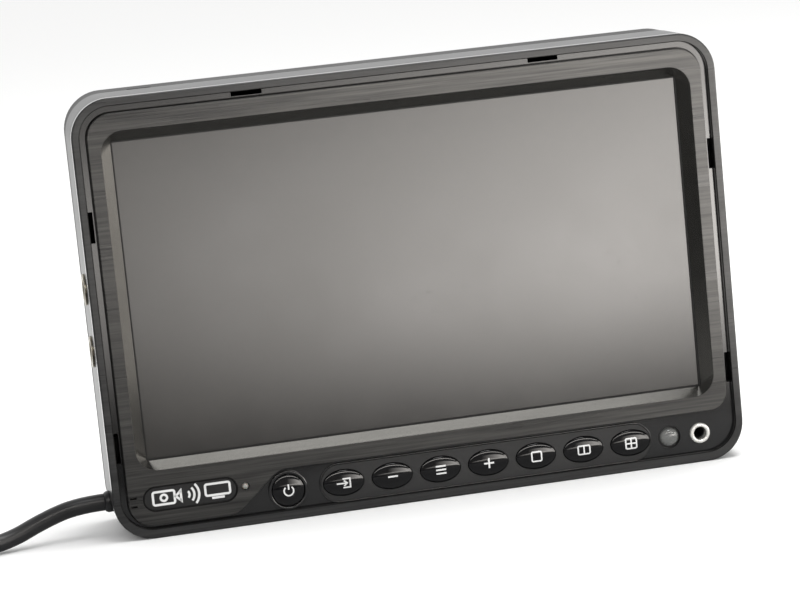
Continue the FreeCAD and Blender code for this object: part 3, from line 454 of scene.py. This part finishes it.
# ---------------------------------------------------------------------------------------------------------
# Hank tie: a black nylon cable tie round the waist of the hank, pulled up to a small moulded head, with
# its cut tail left a few millimetres long. The strip is ribbed by its teeth on the outside.
tie_nylon = finish(
    "tie_nylon", grain, (0.012, 0.012, 0.012), (0.022, 0.022, 0.021), (0.34, 0.5), 5e-6,
    {"Cells": 2200.0, "Cloud": 120.0},
)
tie_low, tie_high = (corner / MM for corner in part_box("hank_tie"))
tie_centre = (tie_low + tie_high) / 2
tie_half_wide, tie_half_thick = 2.7, 0.3
teeth, tooth_high = 60, 0.06


def power_sign(value, power):
    """The value's size raised to a power, with its sign kept: the building block of a superellipse."""
    return np.sign(value) * np.abs(value) ** power


def tie_band():
    """Points of the strip: its path is a superellipse of power five round the bundle, in the plane across
    the hank, and its section is a flat superellipse 5.4 mm wide and 0.6 mm thick, thicker by a cosine for
    each tooth."""
    turn = np.linspace(0, 2 * np.pi, 240, endpoint=False)[:, None]
    half_y, half_z = tie_high.y - 0.4, (tie_high.z - tie_low.z) / 2 - 0.4
    y = half_y * power_sign(np.cos(turn), 0.4)
    z = half_z * power_sign(np.sin(turn), 0.4)
    out_y, out_z = power_sign(y / half_y, 4) / half_y, power_sign(z / half_z, 4) / half_z
    size = np.hypot(out_y, out_z)
    around = np.linspace(0, 2 * np.pi, 20, endpoint=False)[None, :]
    across = tie_half_wide * power_sign(np.cos(around), 0.35)
    tooth = tooth_high * np.cos(teeth * turn) * (np.sin(around) > 0.2) * (np.abs(across) < 2.0)
    thick = tie_half_thick * power_sign(np.sin(around), 0.6) + tooth
    x = tie_centre.x + across + 0 * turn
    return np.stack([x, y + thick * out_y / size, tie_centre.z + z + thick * out_z / size], -1) * MM


def pillow(centre, half, power=0.4, rows=28, steps=48):
    """Points of a superellipsoid: cosine and sine of two angles raised to a power, so that a small power
    gives a block with round edges."""
    rise = np.linspace(-np.pi / 2, np.pi / 2, rows)[:, None]
    turn = np.linspace(0, 2 * np.pi, steps, endpoint=False)[None, :]
    flat = power_sign(np.cos(rise), power)
    x = half[0] * flat * power_sign(np.cos(turn), power)
    y = half[1] * flat * power_sign(np.sin(turn), power)
    z = half[2] * power_sign(np.sin(rise), power) + 0 * turn
    return (np.stack([x, y, z], -1) + np.array(centre)) * MM


band = skin("hank_tie_band", tie_band(), "casing", tie_nylon, ring=True)
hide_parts("hank_tie")
head_place = (tie_centre.x, tie_low.y - 1.7, 7.0)
tie_head = skin("hank_tie_head", pillow(head_place, (3.6, 1.9, 2.6)), "casing", tie_nylon)


def cut_tail():
    """Points of the tail: its middle line goes up from the head and leans out with the square of its rise,
    and its section is a flat superellipse 4.6 mm wide and 0.7 mm thick."""
    rise = np.linspace(0, 1, 24)[:, None]
    around = np.linspace(0, 2 * np.pi, 20, endpoint=False)[None, :]
    x = tie_centre.x + 2.3 * power_sign(np.cos(around), 0.35) + 0 * rise
    y = head_place[1] - 0.2 - 1.6 * rise**2 + 0.35 * power_sign(np.sin(around), 0.6)
    return np.stack([x, y, 9.0 + 6.5 * rise + 0 * around], -1) * MM


tie_tail = skin("hank_tie_tail", cut_tail(), "casing", tie_nylon)

# ---------------------------------------------------------------------------------------------------------
# Plug: a round screw-lock connector. A ribbed soft boot is moulded over the lead's end, then comes a hard
# body with finger flutes, and a knurled nickel ring that turns freely on it round eight gilt pins.
plug_axis = facing((-1, 0, 0), face_middle("plug_boot", (1, 0, 0)))
boot_long, rib_count, rib_deep = 14.0, 5.5, 0.32


def boot_outline():
    """Profile of the boot: it widens with the share of its length to the power 0.8, and its ribs are a
    sine cut off above and below, over the stretch between its two plain ends."""
    share = np.linspace(0, 1, 90)
    ribs = rib_deep * np.clip(3 * np.sin(2 * np.pi * rib_count * share - 1.2), -1, 1)
    radius = 2.75 + 1.85 * share**0.8 + ribs * (share > 0.06) * (share < 0.9)
    return np.concatenate([[(0, 0), (0, 2.3)], np.c_[boot_long * share, radius], [(boot_long, 0)]])


boot = skin("plug_strain_boot", turned(boot_outline(), plug_axis), "casing", lead_rubber)
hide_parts("plug_boot")

plug_plastic = finish(
    "plug_plastic", grain, (0.012, 0.012, 0.013), (0.024, 0.024, 0.025), (0.3, 0.44), 6e-6,
    {"Cells": 1800.0, "Cloud": 100.0},
)
grip = eased(
    [(boot_long, 0), (boot_long, 6.0), (15.2, 6.3), (22.0, 6.3), (22.8, 5.6), (30.0, 5.6), (30.0, 0)], 0.5
)
shell = skin(
    "plug_body", turned(grip, plug_axis, 144, 12, 0.45, 5.9), "casing", plug_plastic,
    crease=60,
)
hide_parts("plug_shell")

# Brushed and turned metals show fine lines along one axis, with broader ones among them.
hairline = group("hairline_brushing", Along=36.0, Across=2600.0)
entry = hairline.nodes.new("NodeGroupInput")
along, across = entry.outputs["Along"], entry.outputs["Across"]
lines = noise(hairline, stretched(hairline, along, across, across), 5.0, 0.68)
broad_across = calculate(hairline, "MULTIPLY", across, 0.16)
broad_along = calculate(hairline, "MULTIPLY", along, 0.35)
broad = noise(hairline, stretched(hairline, broad_along, broad_across, broad_across), 3.0, 0.6)
mixed = calculate(hairline, "MULTIPLY_ADD", lines, 0.7, calculate(hairline, "MULTIPLY", broad, 0.3))
put_out(hairline, lines, contrast(hairline, mixed, 0.34, 0.66), contrast(hairline, broad, 0.3, 0.7))
nickel = finish(
    "nickel_plate", hairline, (0.42, 0.41, 0.385), (0.6, 0.585, 0.55), (0.16, 0.34), 2e-6,
    {"Along": 900.0, "Across": 900.0}, Metallic=1.0,
)
nut = eased([(23.2, 5.8), (23.2, 7.5), (32.7, 7.5), (32.7, 5.8), (24.0, 5.78)], 0.45)
nut = np.concatenate([nut, [(23.6, 5.78)]])
knurled = skin(
    "plug_lock_ring", turned(nut, plug_axis, 216, 36, 0.4, 7.3), "casing", nickel,
    ring=True, crease=50,
)
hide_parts("plug_ring")

gilt = finish("gilt_pins", grain, (0.5, 0.33, 0.11), (0.72, 0.52, 0.22), (0.18, 0.32), 1e-6, Metallic=1.0)
wear(gilt, "plug_pins")

# ---------------------------------------------------------------------------------------------------------
# Case: two ABS mouldings. The front half's raised rim carries the same level brushing as the plate; its
# key strip is matt, the channel and panel inside the rim are glossier, and its walls are satin. The rear
# half has a fine spark-eroded grain.
zones = group(
    "rim_strip_and_floor", Rim=0.0003, Strip=0.0013, Strip_side=0.0129, Strip_end=-0.0313,
    Strip_foot=0.00285, Wall=0.0017,
)
zones.interface.new_socket("Coat", in_out="OUTPUT", socket_type="NodeSocketFloat")
entry = zones.nodes.new("NodeGroupInput")
spot = add(zones, "ShaderNodeSeparateXYZ", Vector=add(zones, "ShaderNodeTexCoord").outputs["Object"])
below_rim = calculate(zones, "SUBTRACT", spot.outputs["Y"], face_y)
on_rim = calculate(zones, "LESS_THAN", below_rim, entry.outputs["Rim"])
on_wall = calculate(zones, "GREATER_THAN", below_rim, entry.outputs["Wall"])
on_strip = calculate(zones, "LESS_THAN", below_rim, entry.outputs["Strip"])
for operation, axis, limit in (
    ("LESS_THAN", "Z", "Strip_side"), ("GREATER_THAN", "Z", "Strip_foot"), ("GREATER_THAN", "X", "Strip_end")
):
    inside = calculate(zones, operation, spot.outputs[axis], entry.outputs[limit])
    on_strip = calculate(zones, "MULTIPLY", on_strip, inside)
brushed_part = add(zones, "ShaderNodeGroup", {"node_tree": hairline}, Along=22.0, Across=1500.0)
matt_part = add(zones, "ShaderNodeGroup", {"node_tree": grain}, Cells=4200.0, Cloud=40.0)
satin_part = add(zones, "ShaderNodeGroup", {"node_tree": grain}, Cells=3200.0, Cloud=28.0)


def by_zone(rim, strip, channel, wall):
    """One of those four numbers or outputs, by where the point is."""
    sunk = add(zones, "ShaderNodeMix", _0=on_wall, _2=channel, _3=wall).outputs[0]
    inner = add(zones, "ShaderNodeMix", _0=on_strip, _2=sunk, _3=strip).outputs[0]
    return add(zones, "ShaderNodeMix", _0=on_rim, _2=inner, _3=rim).outputs[0]


def chosen(label, rim_span, strip_span, channel_span, wall_span):
    """One of the finishes' values, by where the point is, each carried from 0 and 1 to its span's ends."""
    spans = (
        (brushed_part, rim_span),
        (matt_part, strip_span),
        (satin_part, channel_span),
        (satin_part, wall_span),
    )
    carried = [
        calculate(zones, "MULTIPLY_ADD", part.outputs[label], high - low, low) for part, (low, high) in spans
    ]
    return by_zone(*carried)


add(
    zones, "NodeGroupOutput",
    Height=chosen("Height", (0.0, 1.0), (0.0, 0.9), (0.0, 0.12), (0.0, 0.3)),
    Tone=chosen("Tone", (0.1, 1.0), (0.4, 0.7), (0.0, 0.2), (0.0, 0.25)),
    Shine=chosen("Shine", (0.35, 0.9), (0.75, 1.0), (0.0, 0.2), (0.4, 0.65)),
    Coat=by_zone(0.05, 0.0, 1.0, 0.08),
)


def from_effect(material, label):
    """That output of the effect which the material is made with."""
    return next(node for node in material.node_tree.nodes if node.type == "GROUP").outputs[label]


case_black = finish(
    "case_satin", zones, (0.009, 0.009, 0.0095), (0.034, 0.034, 0.034), (0.12, 0.48), 9e-6,
    IOR=1.5, Specular_IOR_Level=0.34, Coat_Roughness=0.16,
)
tree = case_black.node_tree
tree.links.new(from_effect(case_black, "Coat"), tree.nodes["Principled BSDF"].inputs["Coat Weight"])
wear(case_black, "front_frame")
rear_black = finish(
    "rear_grained", grain, (0.012, 0.012, 0.012), (0.022, 0.022, 0.022), (0.42, 0.62), 22e-6,
    {"Cells": 1500.0},
)
wear(rear_black, "rear_cover")

# ---------------------------------------------------------------------------------------------------------
# Edges of the front: a fine rounded lip moulded round the raised key strip, with a thin shadow gap between
# the two, and a near-black bead laid along the rim's inner edge: painted shade, a dark line where the rim
# drops to the channel.
strip_middle, strip_line, strip_run, strip_turn = 14.8, 7.9, 41.0, 5.25
lip_round, lip_depth = 0.26, 1.5
rim_wide, rim_foot, rim_turn = 1.95, 2.4, 8.5
shade_line_round, shade_line_depth = 0.24, 0.27


def beading(centre, run, turn_radius, depth, round_off, path_steps=192, section_steps=14):
    """Points of a bead along a rectangle with round corners. Each point of its path is the end of a run,
    to the side that the turn's cosine and sine point to, plus the radius times that cosine and sine; its
    section is round."""
    turn = (np.arange(path_steps)[:, None] + 0.5) * 2 * np.pi / path_steps
    around = np.linspace(0, 2 * np.pi, section_steps, endpoint=False)[None, :]
    radius = turn_radius + round_off * np.cos(around)
    x = centre[0] + run[0] * np.sign(np.cos(turn)) + radius * np.cos(turn)
    z = centre[1] + run[1] * np.sign(np.sin(turn)) + radius * np.sin(turn)
    y = face_y / MM + depth - round_off * np.sin(around) + 0 * turn
    return np.stack([x, y, z], -1) * MM


lip_points = beading((strip_middle, strip_line), (strip_run, 0.0), strip_turn, lip_depth, lip_round)
skin("strip_lip", lip_points, "casing", case_black, ring=True, crease=60)
# Painted shade: a near-black finish with little gloss, for the dark lines laid along the rim's inner edge
# and round the badge.
painted_shade_black = finish(
    "painted_shade_black", grain, (0.003, 0.003, 0.003), (0.006, 0.006, 0.006), (0.5, 0.6), 4e-6, {"Cells": 4200.0},
    Specular_IOR_Level=0.12,
)
edge_top, edge_side = case_high.z / MM - rim_wide, case_high.x / MM - rim_wide
edge_run = (edge_side - rim_turn, (edge_top - rim_foot) / 2 - rim_turn)
shade_line_points = beading((0.0, (edge_top + rim_foot) / 2), edge_run, rim_turn, shade_line_depth, shade_line_round)
skin("rim_painted_shade_line", shade_line_points, "casing", painted_shade_black, ring=True, crease=60)

# ---------------------------------------------------------------------------------------------------------
# Face plate: a pressed plate brushed from side to side and lacquered dark, bonded into its seat. The four
# falls to the screen are part of it.
plate_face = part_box("face_plate")[0].y
cut = group("brushed_and_cut", Face=0.00015)
cut.interface.new_socket("Fall", in_out="OUTPUT", socket_type="NodeSocketFloat")
entry = cut.nodes.new("NodeGroupInput")
spot = add(cut, "ShaderNodeSeparateXYZ", Vector=add(cut, "ShaderNodeTexCoord").outputs["Object"])
below_face = calculate(cut, "SUBTRACT", spot.outputs["Y"], plate_face)
fall = calculate(cut, "GREATER_THAN", below_face, entry.outputs["Face"])
brushed_part = add(cut, "ShaderNodeGroup", {"node_tree": hairline}, Along=24.0, Across=1300.0)


def face_or_fall(label, face_span, fall_span):
    """The brushing's value carried to one span on the plate's face and to another on its falls."""
    brushed = brushed_part.outputs[label]
    on_face, on_fall = (
        calculate(cut, "MULTIPLY_ADD", brushed, high - low, low) for low, high in (face_span, fall_span)
    )
    return add(cut, "ShaderNodeMix", _0=fall, _2=on_face, _3=on_fall).outputs[0]


add(
    cut, "NodeGroupOutput",
    Height=face_or_fall("Height", (0.0, 1.0), (0.0, 0.1)),
    Tone=face_or_fall("Tone", (0.0, 0.4), (0.85, 1.0)),
    Shine=face_or_fall("Shine", (0.3, 1.0), (0.0, 0.15)),
    Fall=fall,
)
plate_finish = finish(
    "brushed_lacquer", cut, (0.009, 0.009, 0.0095), (0.15, 0.146, 0.136), (0.14, 0.42), 13e-6
)
tree = plate_finish.node_tree
face_metal, fall_metal = 0.4, 0.9
metal = calculate(
    tree, "MULTIPLY_ADD", from_effect(plate_finish, "Fall"), fall_metal - face_metal, face_metal
)
tree.links.new(metal, tree.nodes["Principled BSDF"].inputs["Metallic"])
wear(plate_finish, "face_plate")

# ---------------------------------------------------------------------------------------------------------
# Screen: the seven inch panel's bare polariser, hard-coated and faintly hazed, so that what it mirrors is
# soft. A foam frame seals it to the plate. Gloss that is touched keeps a slow smear and a few specks of
# dust.
handled = group("handled_gloss", Specks=1400.0, Cloud=38.0)
entry = handled.nodes.new("NodeGroupInput")
specks, cloud = entry.outputs["Specks"], entry.outputs["Cloud"]
dots = contrast(handled, noise(handled, stretched(handled, specks, specks, specks), 1.0, 0.4), 0.66, 0.78)
smear = contrast(handled, noise(handled, stretched(handled, cloud, cloud, cloud), 5.0, 0.66), 0.35, 0.72)
swell = noise(handled, stretched(handled, cloud, cloud, cloud))
put_out(handled, swell, smear, calculate(handled, "MAXIMUM", smear, dots))
screen_finish = finish(
    "screen_polariser", handled, (0.028, 0.0265, 0.025), (0.036, 0.034, 0.031), (0.2, 0.26), 0.0,
    {"Specks": 900.0, "Cloud": 26.0}, IOR=1.62,
)
wear(screen_finish, "screen_glass")
foam = finish(
    "black_foam", grain, (0.003, 0.003, 0.003), (0.008, 0.008, 0.008), (0.8, 0.95), 30e-6, {"Cells": 900.0}
)
seal_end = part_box("screen_gasket")[1].x / MM - 0.3
glass_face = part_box("screen_glass")[0].y / MM
view_half = (154.08 / 2, 85.92 / 2)
view_foot = 20.5
view_line = view_foot + view_half[1]
seal_show, seal_reach = 0.42, 2.6
seal_front, seal_back = glass_face - 0.42, glass_face - 0.03


def seal_ring():
    """Points of the foam frame: at each of the four corners of its flat section, a rectangle whose points
    are half its width times the turn's cosine and half its height times its sine, over the longer of the
    two."""
    turn = np.linspace(0, 2 * np.pi, 720, endpoint=False)[None, :]
    inner = (view_half[0] - seal_show, view_half[1] - seal_show)
    outer = (seal_end, view_half[1] + seal_reach)
    section = ((*inner, seal_front), (*inner, seal_back), (*outer, seal_back), (*outer, seal_front))
    half_x, half_z, depth = np.array(section).T[..., None]
    longer = np.maximum(np.abs(np.cos(turn)), np.abs(np.sin(turn)))
    x, z = half_x * np.cos(turn) / longer, view_line + half_z * np.sin(turn) / longer
    return np.stack([x, depth + 0 * turn, z], -1) * MM


seal = skin("screen_seal", seal_ring(), "casing", foam, ring=True)
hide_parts("screen_gasket")

# ---------------------------------------------------------------------------------------------------------
# Keys: seven oval caps and one round one, injection moulded in gloss black with a domed crown, each riding
# in its own hole on a tact switch. Each cap carries one sign, printed in white on its crown.
key_gloss = finish(
    "key_gloss", handled, (0.004, 0.004, 0.0045), (0.006, 0.006, 0.0065), (0.045, 0.11), 3e-6,
    {"Specks": 2600.0, "Cloud": 160.0}, IOR=1.52,
)
paint_white = finish(
    "sign_white", grain, (0.62, 0.62, 0.61), (0.8, 0.8, 0.79), (0.34, 0.5), 2e-6, {"Cells": 5000.0}
)
key_lip = 0.7
key_edge_y = face_y / MM + 0.98
key_crown = 0.88
key_depth = 2.6
dome_power = 0.62
paint_off, paint_thick = 0.012, 0.03


def key_dome(centre, half_long, half_short):
    """Points of a cap from its crown to its hidden foot. Over the oval's share of radius r the crown stands
    (1 - r squared) to a power below one, so it is flat in the middle and turns down to a steep edge."""
    share = np.sin(np.linspace(0, np.pi / 2, 26))
    rise = key_crown * (1 - share**2).clip(0) ** dome_power
    share = np.append(share, [1.0, 1.0])[:, None]
    depth = np.append(key_edge_y - rise, [key_edge_y + 0.5, key_edge_y + key_depth])[:, None]
    turn = np.linspace(0, 2 * np.pi, 96, endpoint=False)
    x = centre.x / MM + half_long * share * np.cos(turn)
    z = centre.z / MM + half_short * share * np.sin(turn)
    return np.stack([x, depth + 0 * turn, z], -1) * MM


def line_edges(path, wide, closed):
    """Both edges of a painted line. Each point moves half the width along the mitre of the runs before and
    after it: their two normals added, over one plus their dot product."""
    runs = np.diff(np.vstack([path, path[:1]]) if closed else path, axis=0)
    normals = np.stack([-runs[:, 1], runs[:, 0]], 1) / np.linalg.norm(runs, axis=1)[:, None]
    before = np.roll(normals, 1, axis=0) if closed else np.vstack([normals[:1], normals])
    after = normals if closed else np.vstack([normals, normals[-1:]])
    mitre = (before + after) / (1 + (before * after).sum(1))[:, None]
    return path + mitre * wide / 2, path - mitre * wide / 2


def close_points(corners, closed, step=0.22):
    """The outline with points about that far apart, so that paint can follow a curved face."""
    corners = np.array(list(corners) + ([corners[0]] if closed else []), float)
    line = []
    for start, end in zip(corners[:-1], corners[1:]):
        count = max(1, math.ceil(np.linalg.norm(end - start) / step))
        line.append(start + (end - start) * np.linspace(0, 1, count, endpoint=False)[:, None])
    return np.concatenate(line + ([] if closed else [corners[-1:]]))


def painted(name, signs, centre, height_of, body):
    """Paint: every line is a strip of quads between its two edges, laid at the depth that the face has
    there, then given its thickness."""
    points, faces, used = [], [], 0
    for corners, wide, closed in signs:
        path = close_points(corners, closed)
        left, right = line_edges(path, wide, closed)
        count = len(path)
        index = np.arange(count)
        ahead = (index + 1) % count
        quads = np.stack([index, ahead, ahead + count, index + count], 1)
        faces.append((quads if closed else quads[:-1]) + used)
        flat = np.concatenate([left, right])
        points.append(
            np.c_[centre.x / MM + flat[:, 0], height_of(flat) - paint_off, centre.z / MM + flat[:, 1]]
        )
        used += 2 * count
    mesh = bpy.data.meshes.new(name)
    mesh.from_pydata((np.concatenate(points) * MM).tolist(), [], np.concatenate(faces).tolist())
    sides = bmesh.new()
    sides.from_mesh(mesh)
    turned_in = [face for face in sides.faces if face.normal.y > 0]
    bmesh.ops.reverse_faces(sides, faces=turned_in)
    sides.to_mesh(mesh)
    sides.free()
    mesh.materials.append(paint_white)
    piece = bpy.data.objects.new(name, mesh)
    scene.collection.objects.link(piece)
    coat = piece.modifiers.new("coat", "SOLIDIFY")
    coat.thickness, coat.offset = paint_thick * MM, 1.0
    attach(piece, body)
    return piece


def oblong(half_wide, half_high, round_off=0.35):
    """Corners of a rectangle with each corner eased by four points on a quarter circle."""
    quarter = np.linspace(0, np.pi / 2, 4)
    corners = []
    for number, (side_x, side_z) in enumerate(((1, 1), (-1, 1), (-1, -1), (1, -1))):
        turn = quarter + number * np.pi / 2
        x = side_x * (half_wide - round_off) + round_off * np.cos(turn)
        z = side_z * (half_high - round_off) + round_off * np.sin(turn)
        corners.append(np.stack([x, z], 1))
    return np.concatenate(corners)


def bow(radius, start, end, count=24, centre=(0.0, 0.0)):
    """Points of an arc, with its angles in degrees from the right."""
    turn = np.radians(np.linspace(start, end, count))
    return np.stack([centre[0] + radius * np.cos(turn), centre[1] + radius * np.sin(turn)], 1)


sign_line = 0.4
frame_sign = (oblong(1.35, 1.3), sign_line, True)
signs = {
    "source": [
        (np.array([(-0.4, 1.2), (1.6, 1.2), (1.6, -1.2), (-0.4, -1.2)]), sign_line, False),
        (np.array([(-2.1, 0.0), (0.6, 0.0)]), sign_line, False),
        (np.array([(-0.1, 0.75), (0.75, 0.0), (-0.1, -0.75)]), sign_line, False),
    ],
    "minus": [(np.array([(-1.35, 0.0), (1.35, 0.0)]), 0.46, False)],
    "menu": [(np.array([(-1.4, high), (1.4, high)]), 0.44, False) for high in (1.0, 0.0, -1.0)],
    "plus": [
        (np.array([(-1.4, 0.0), (1.4, 0.0)]), 0.46, False),
        (np.array([(0.0, 0.23), (0.0, 1.4)]), 0.46, False),
        (np.array([(0.0, -0.23), (0.0, -1.4)]), 0.46, False),
    ],
    "single_view": [frame_sign],
    "split_view": [
        (oblong(1.65, 1.15), sign_line, True), (np.array([(0.0, 0.95), (0.0, -0.95)]), sign_line, False)
    ],
    "quad_view": [
        (oblong(1.5, 1.4), sign_line, True),
        (np.array([(0.0, 1.2), (0.0, -1.2)]), sign_line, False),
        (np.array([(-1.3, 0.0), (-0.2, 0.0)]), sign_line, False),
        (np.array([(0.2, 0.0), (1.3, 0.0)]), sign_line, False),
    ],
    "power": [
        (bow(1.3, 130, 410), sign_line, False), (np.array([(0.0, 0.35), (0.0, 1.8)]), sign_line, False)
    ],
}
for name, lines_of_sign in signs.items():
    node = f"{name}_button"
    low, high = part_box(node)
    centre = middle(node)
    half_long = (high.x - low.x) / 2 / MM - key_lip
    half_short = (high.z - low.z) / 2 / MM - key_lip
    cap = skin(
        f"{name}_cap", key_dome(centre, half_long, half_short), f"{name}_key", key_gloss,
        crease=60,
    )
    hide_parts(node)

    def crown_at(flat, half_long=half_long, half_short=half_short):
        """Depth of the cap's face over points on the key's own plane."""
        inside = (1 - (flat[:, 0] / half_long) ** 2 - (flat[:, 1] / half_short) ** 2).clip(0)
        return key_edge_y - key_crown * inside**dome_power

    painted(f"{name}_sign", lines_of_sign, centre, crown_at, f"{name}_key")

# ---------------------------------------------------------------------------------------------------------
# Badge: a sunk oval plate at the lower left, screen printed with plain signs for a camera, its signal and
# a screen. The dark line round it is a black bead laid in its step down from the plate: painted shade.
badge_finish = finish(
    "badge_matt", grain, (0.006, 0.006, 0.0065), (0.013, 0.013, 0.014), (0.3, 0.45), 6e-6, {"Cells": 4000.0}
)
wear(badge_finish, "badge_inlay")
badge_centre = middle("badge_inlay")
badge_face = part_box("badge_inlay")[0].y / MM
badge_low, badge_high = (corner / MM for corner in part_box("badge_inlay"))
badge_turn = (badge_high.z - badge_low.z) / 2
badge_run = ((badge_high.x - badge_low.x) / 2 - badge_turn, 0.0)
badge_middle = (badge_centre.x / MM, badge_centre.z / MM)
# The bead round the badge is painted shade: a black line in the step down from the plate.
badge_shade_depth, badge_shade_round = (plate_face - face_y) / MM + 0.16, 0.28
badge_shade_points = beading(badge_middle, badge_run, badge_turn, badge_shade_depth, badge_shade_round)
skin("badge_painted_shade_line", badge_shade_points, "casing", painted_shade_black, ring=True, crease=60)
bold = 0.62
badge_signs = [
    (oblong(2.9, 1.75, 0.5) + (-7.2, 0.0), bold, True),
    (bow(0.85, 0, 345, 24, (-7.2, 0.0)), bold, True),
    (np.array([(-4.0, 0.0), (-2.6, 1.35), (-2.6, -1.35)]), bold, True),
    *[(bow(radius, -42, 42, 16, (-1.6, 0.0)), bold, False) for radius in (1.3, 2.6, 3.9)],
    (oblong(3.3, 1.55, 0.5) + (7.3, 0.45), bold, True),
    (np.array([(5.6, -1.85), (9.0, -1.85)]), bold, False),
]
painted("badge_signs", badge_signs, badge_centre, lambda flat: badge_face + 0 * flat[:, 0], "casing")

# ---------------------------------------------------------------------------------------------------------
# Remote control eye, indicator and jack: a slightly cloudy acrylic dome over the receiver, a milky dome
# over the diode, and a plated ring round a 3.5 mm jack.
forward = (0, -1, 0)
eye_place = facing(forward, face_middle("sensor_window", forward))
eye_share = np.linspace(0, np.pi / 2, 24)
eye_front = np.c_[-1.45 + 1.5 * np.cos(eye_share), 2.5 * np.sin(eye_share)]
eye_foot = eased([(-1.5, 2.5), (-3.2, 2.5), (-3.2, 3.1), (-4.1, 3.1), (-4.1, 0)], 0.1, 4)
eye_profile = np.concatenate([eye_front, eye_foot])
clear = finish(
    "clear_acrylic", handled, (0.4, 0.41, 0.4), (0.62, 0.62, 0.6), (0.02, 0.08), 0.0, {"Cloud": 600.0},
    IOR=1.52, Transmission_Weight=0.72,
)
eye = skin("sensor_dome", turned(eye_profile, eye_place), "casing", clear, crease=50)
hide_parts("sensor_window")

milky = finish(
    "milky_lens", grain, (0.26, 0.27, 0.24), (0.38, 0.38, 0.35), (0.16, 0.26), 2e-6,
    {"Cells": 2600.0, "Cloud": 500.0},
    Subsurface_Weight=0.2, Subsurface_Scale=0.0006, IOR=1.5,
)
light_place = facing(forward, face_middle("status_light", forward))
bead = np.c_[-0.85 + 0.85 * np.cos(eye_share), 1.05 * np.sin(eye_share)]
bead = np.concatenate([bead, [(-3.7, 1.05), (-3.7, 0)]])
status_bead = skin("status_bead", turned(bead, light_place, 40), "casing", milky, crease=50)
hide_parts("status_light")

ring_place = facing(forward, face_middle("jack_ring", forward))
ring_profile = eased(
    [(-3.1, 2.8), (-0.3, 2.8), (0.0, 2.55), (0.0, 2.0), (-0.25, 1.8), (-0.5, 1.8), (-0.8, 2.1), (-3.1, 2.1)],
    0.14, 5,
)
jack_plate = finish(
    "jack_plating", hairline, (0.8, 0.79, 0.75), (0.92, 0.91, 0.87), (0.2, 0.3), 0.3e-6,
    {"Along": 1500.0, "Across": 1500.0},
    Metallic=0.5,
)
jack_collar = skin(
    "jack_collar", turned(ring_profile, ring_place), "casing", jack_plate, ring=True
)
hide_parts("jack_ring")

# ---------------------------------------------------------------------------------------------------------
# Bracket inserts: four turned brass inserts, nickel plated outside, moulded into the side walls. Their
# threads are rolled, so each turn shows as a shallow V.
insert_metal = finish(
    "insert_plating", hairline, (0.27, 0.25, 0.2), (0.42, 0.39, 0.32), (0.24, 0.42), 2e-6,
    {"Along": 1200.0, "Across": 1200.0}, Metallic=1.0,
)
thread_pitch, thread_turns, turn_steps = 0.8, 6, 8
thread_radius, thread_deep = 2.12, 0.32
for side, direction in (("left", -1), ("right", 1)):
    for level_name in ("lower", "upper"):
        node = f"{side}_{level_name}_insert"
        deep = np.linspace(0, thread_turns, thread_turns * turn_steps + 1)
        ridge = thread_radius + thread_deep * np.abs((deep + 0.5) % 1 * 2 - 1)
        thread = np.c_[-5.6 + deep * thread_pitch, ridge]
        sleeve = [(-0.45, 2.55), (0.0, 2.9), (0.0, 4.2), (-0.7, 4.2), (-0.7, 3.2), (-5.8, 3.2), (-5.8, 2.5)]
        profile = np.concatenate([eased(sleeve, 0.16, 4), thread])
        place = facing((direction, 0, 0), face_middle(node, (direction, 0, 0)))
        insert = skin(
            f"{node}_sleeve", turned(profile, place), "casing", insert_metal, ring=True,
            crease=30,
        )
        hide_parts(node)

# ---------------------------------------------------------------------------------------------------------
# Screws: zinc-plated self-tapping screws with crossed heads. Long ones go in from the back and hold the case
# halves together, and short ones hold the boards.
screw_steel = finish(
    "screw_zinc", hairline, (0.3, 0.3, 0.3), (0.48, 0.48, 0.47), (0.28, 0.5), 3e-6,
    {"Along": 700.0, "Across": 700.0},
    Metallic=1.0,
)
wear(screw_steel, "rear_screws", "board_screws")

# ---------------------------------------------------------------------------------------------------------
# Inside the case: green solder-masked boards, black epoxy parts, a rolled steel tray behind the panel,
# amber flat cables, the microphone's can and the speaker's pressed paper.
solder_mask = finish(
    "solder_mask", grain, (0.005, 0.05, 0.02), (0.012, 0.1, 0.04), (0.25, 0.4), 12e-6,
    {"Cells": 1200.0, "Cloud": 220.0},
)
wear(solder_mask, "main_board", "key_board")
epoxy = finish(
    "black_epoxy", grain, (0.01, 0.01, 0.01), (0.03, 0.03, 0.03), (0.45, 0.65), 10e-6, {"Cells": 3800.0}
)
wear(epoxy, "board_components", "key_switches", "infrared_receiver", "status_diode", "jack_socket")
rolled = finish(
    "rolled_steel", hairline, (0.34, 0.34, 0.34), (0.5, 0.5, 0.5), (0.3, 0.48), 6e-6,
    {"Along": 12.0, "Across": 900.0},
    Metallic=1.0,
)
wear(rolled, "backlight_tray", "microphone")
amber = finish(
    "amber_film", grain, (0.3, 0.12, 0.02), (0.46, 0.22, 0.05), (0.2, 0.35), 3e-6, {"Cells": 900.0}
)
wear(amber, "display_ribbon", "key_ribbon")
paper = finish(
    "speaker_paper", grain, (0.02, 0.02, 0.02), (0.06, 0.055, 0.05), (0.7, 0.9), 30e-6, {"Cells": 1500.0}
)
wear(paper, "speaker")
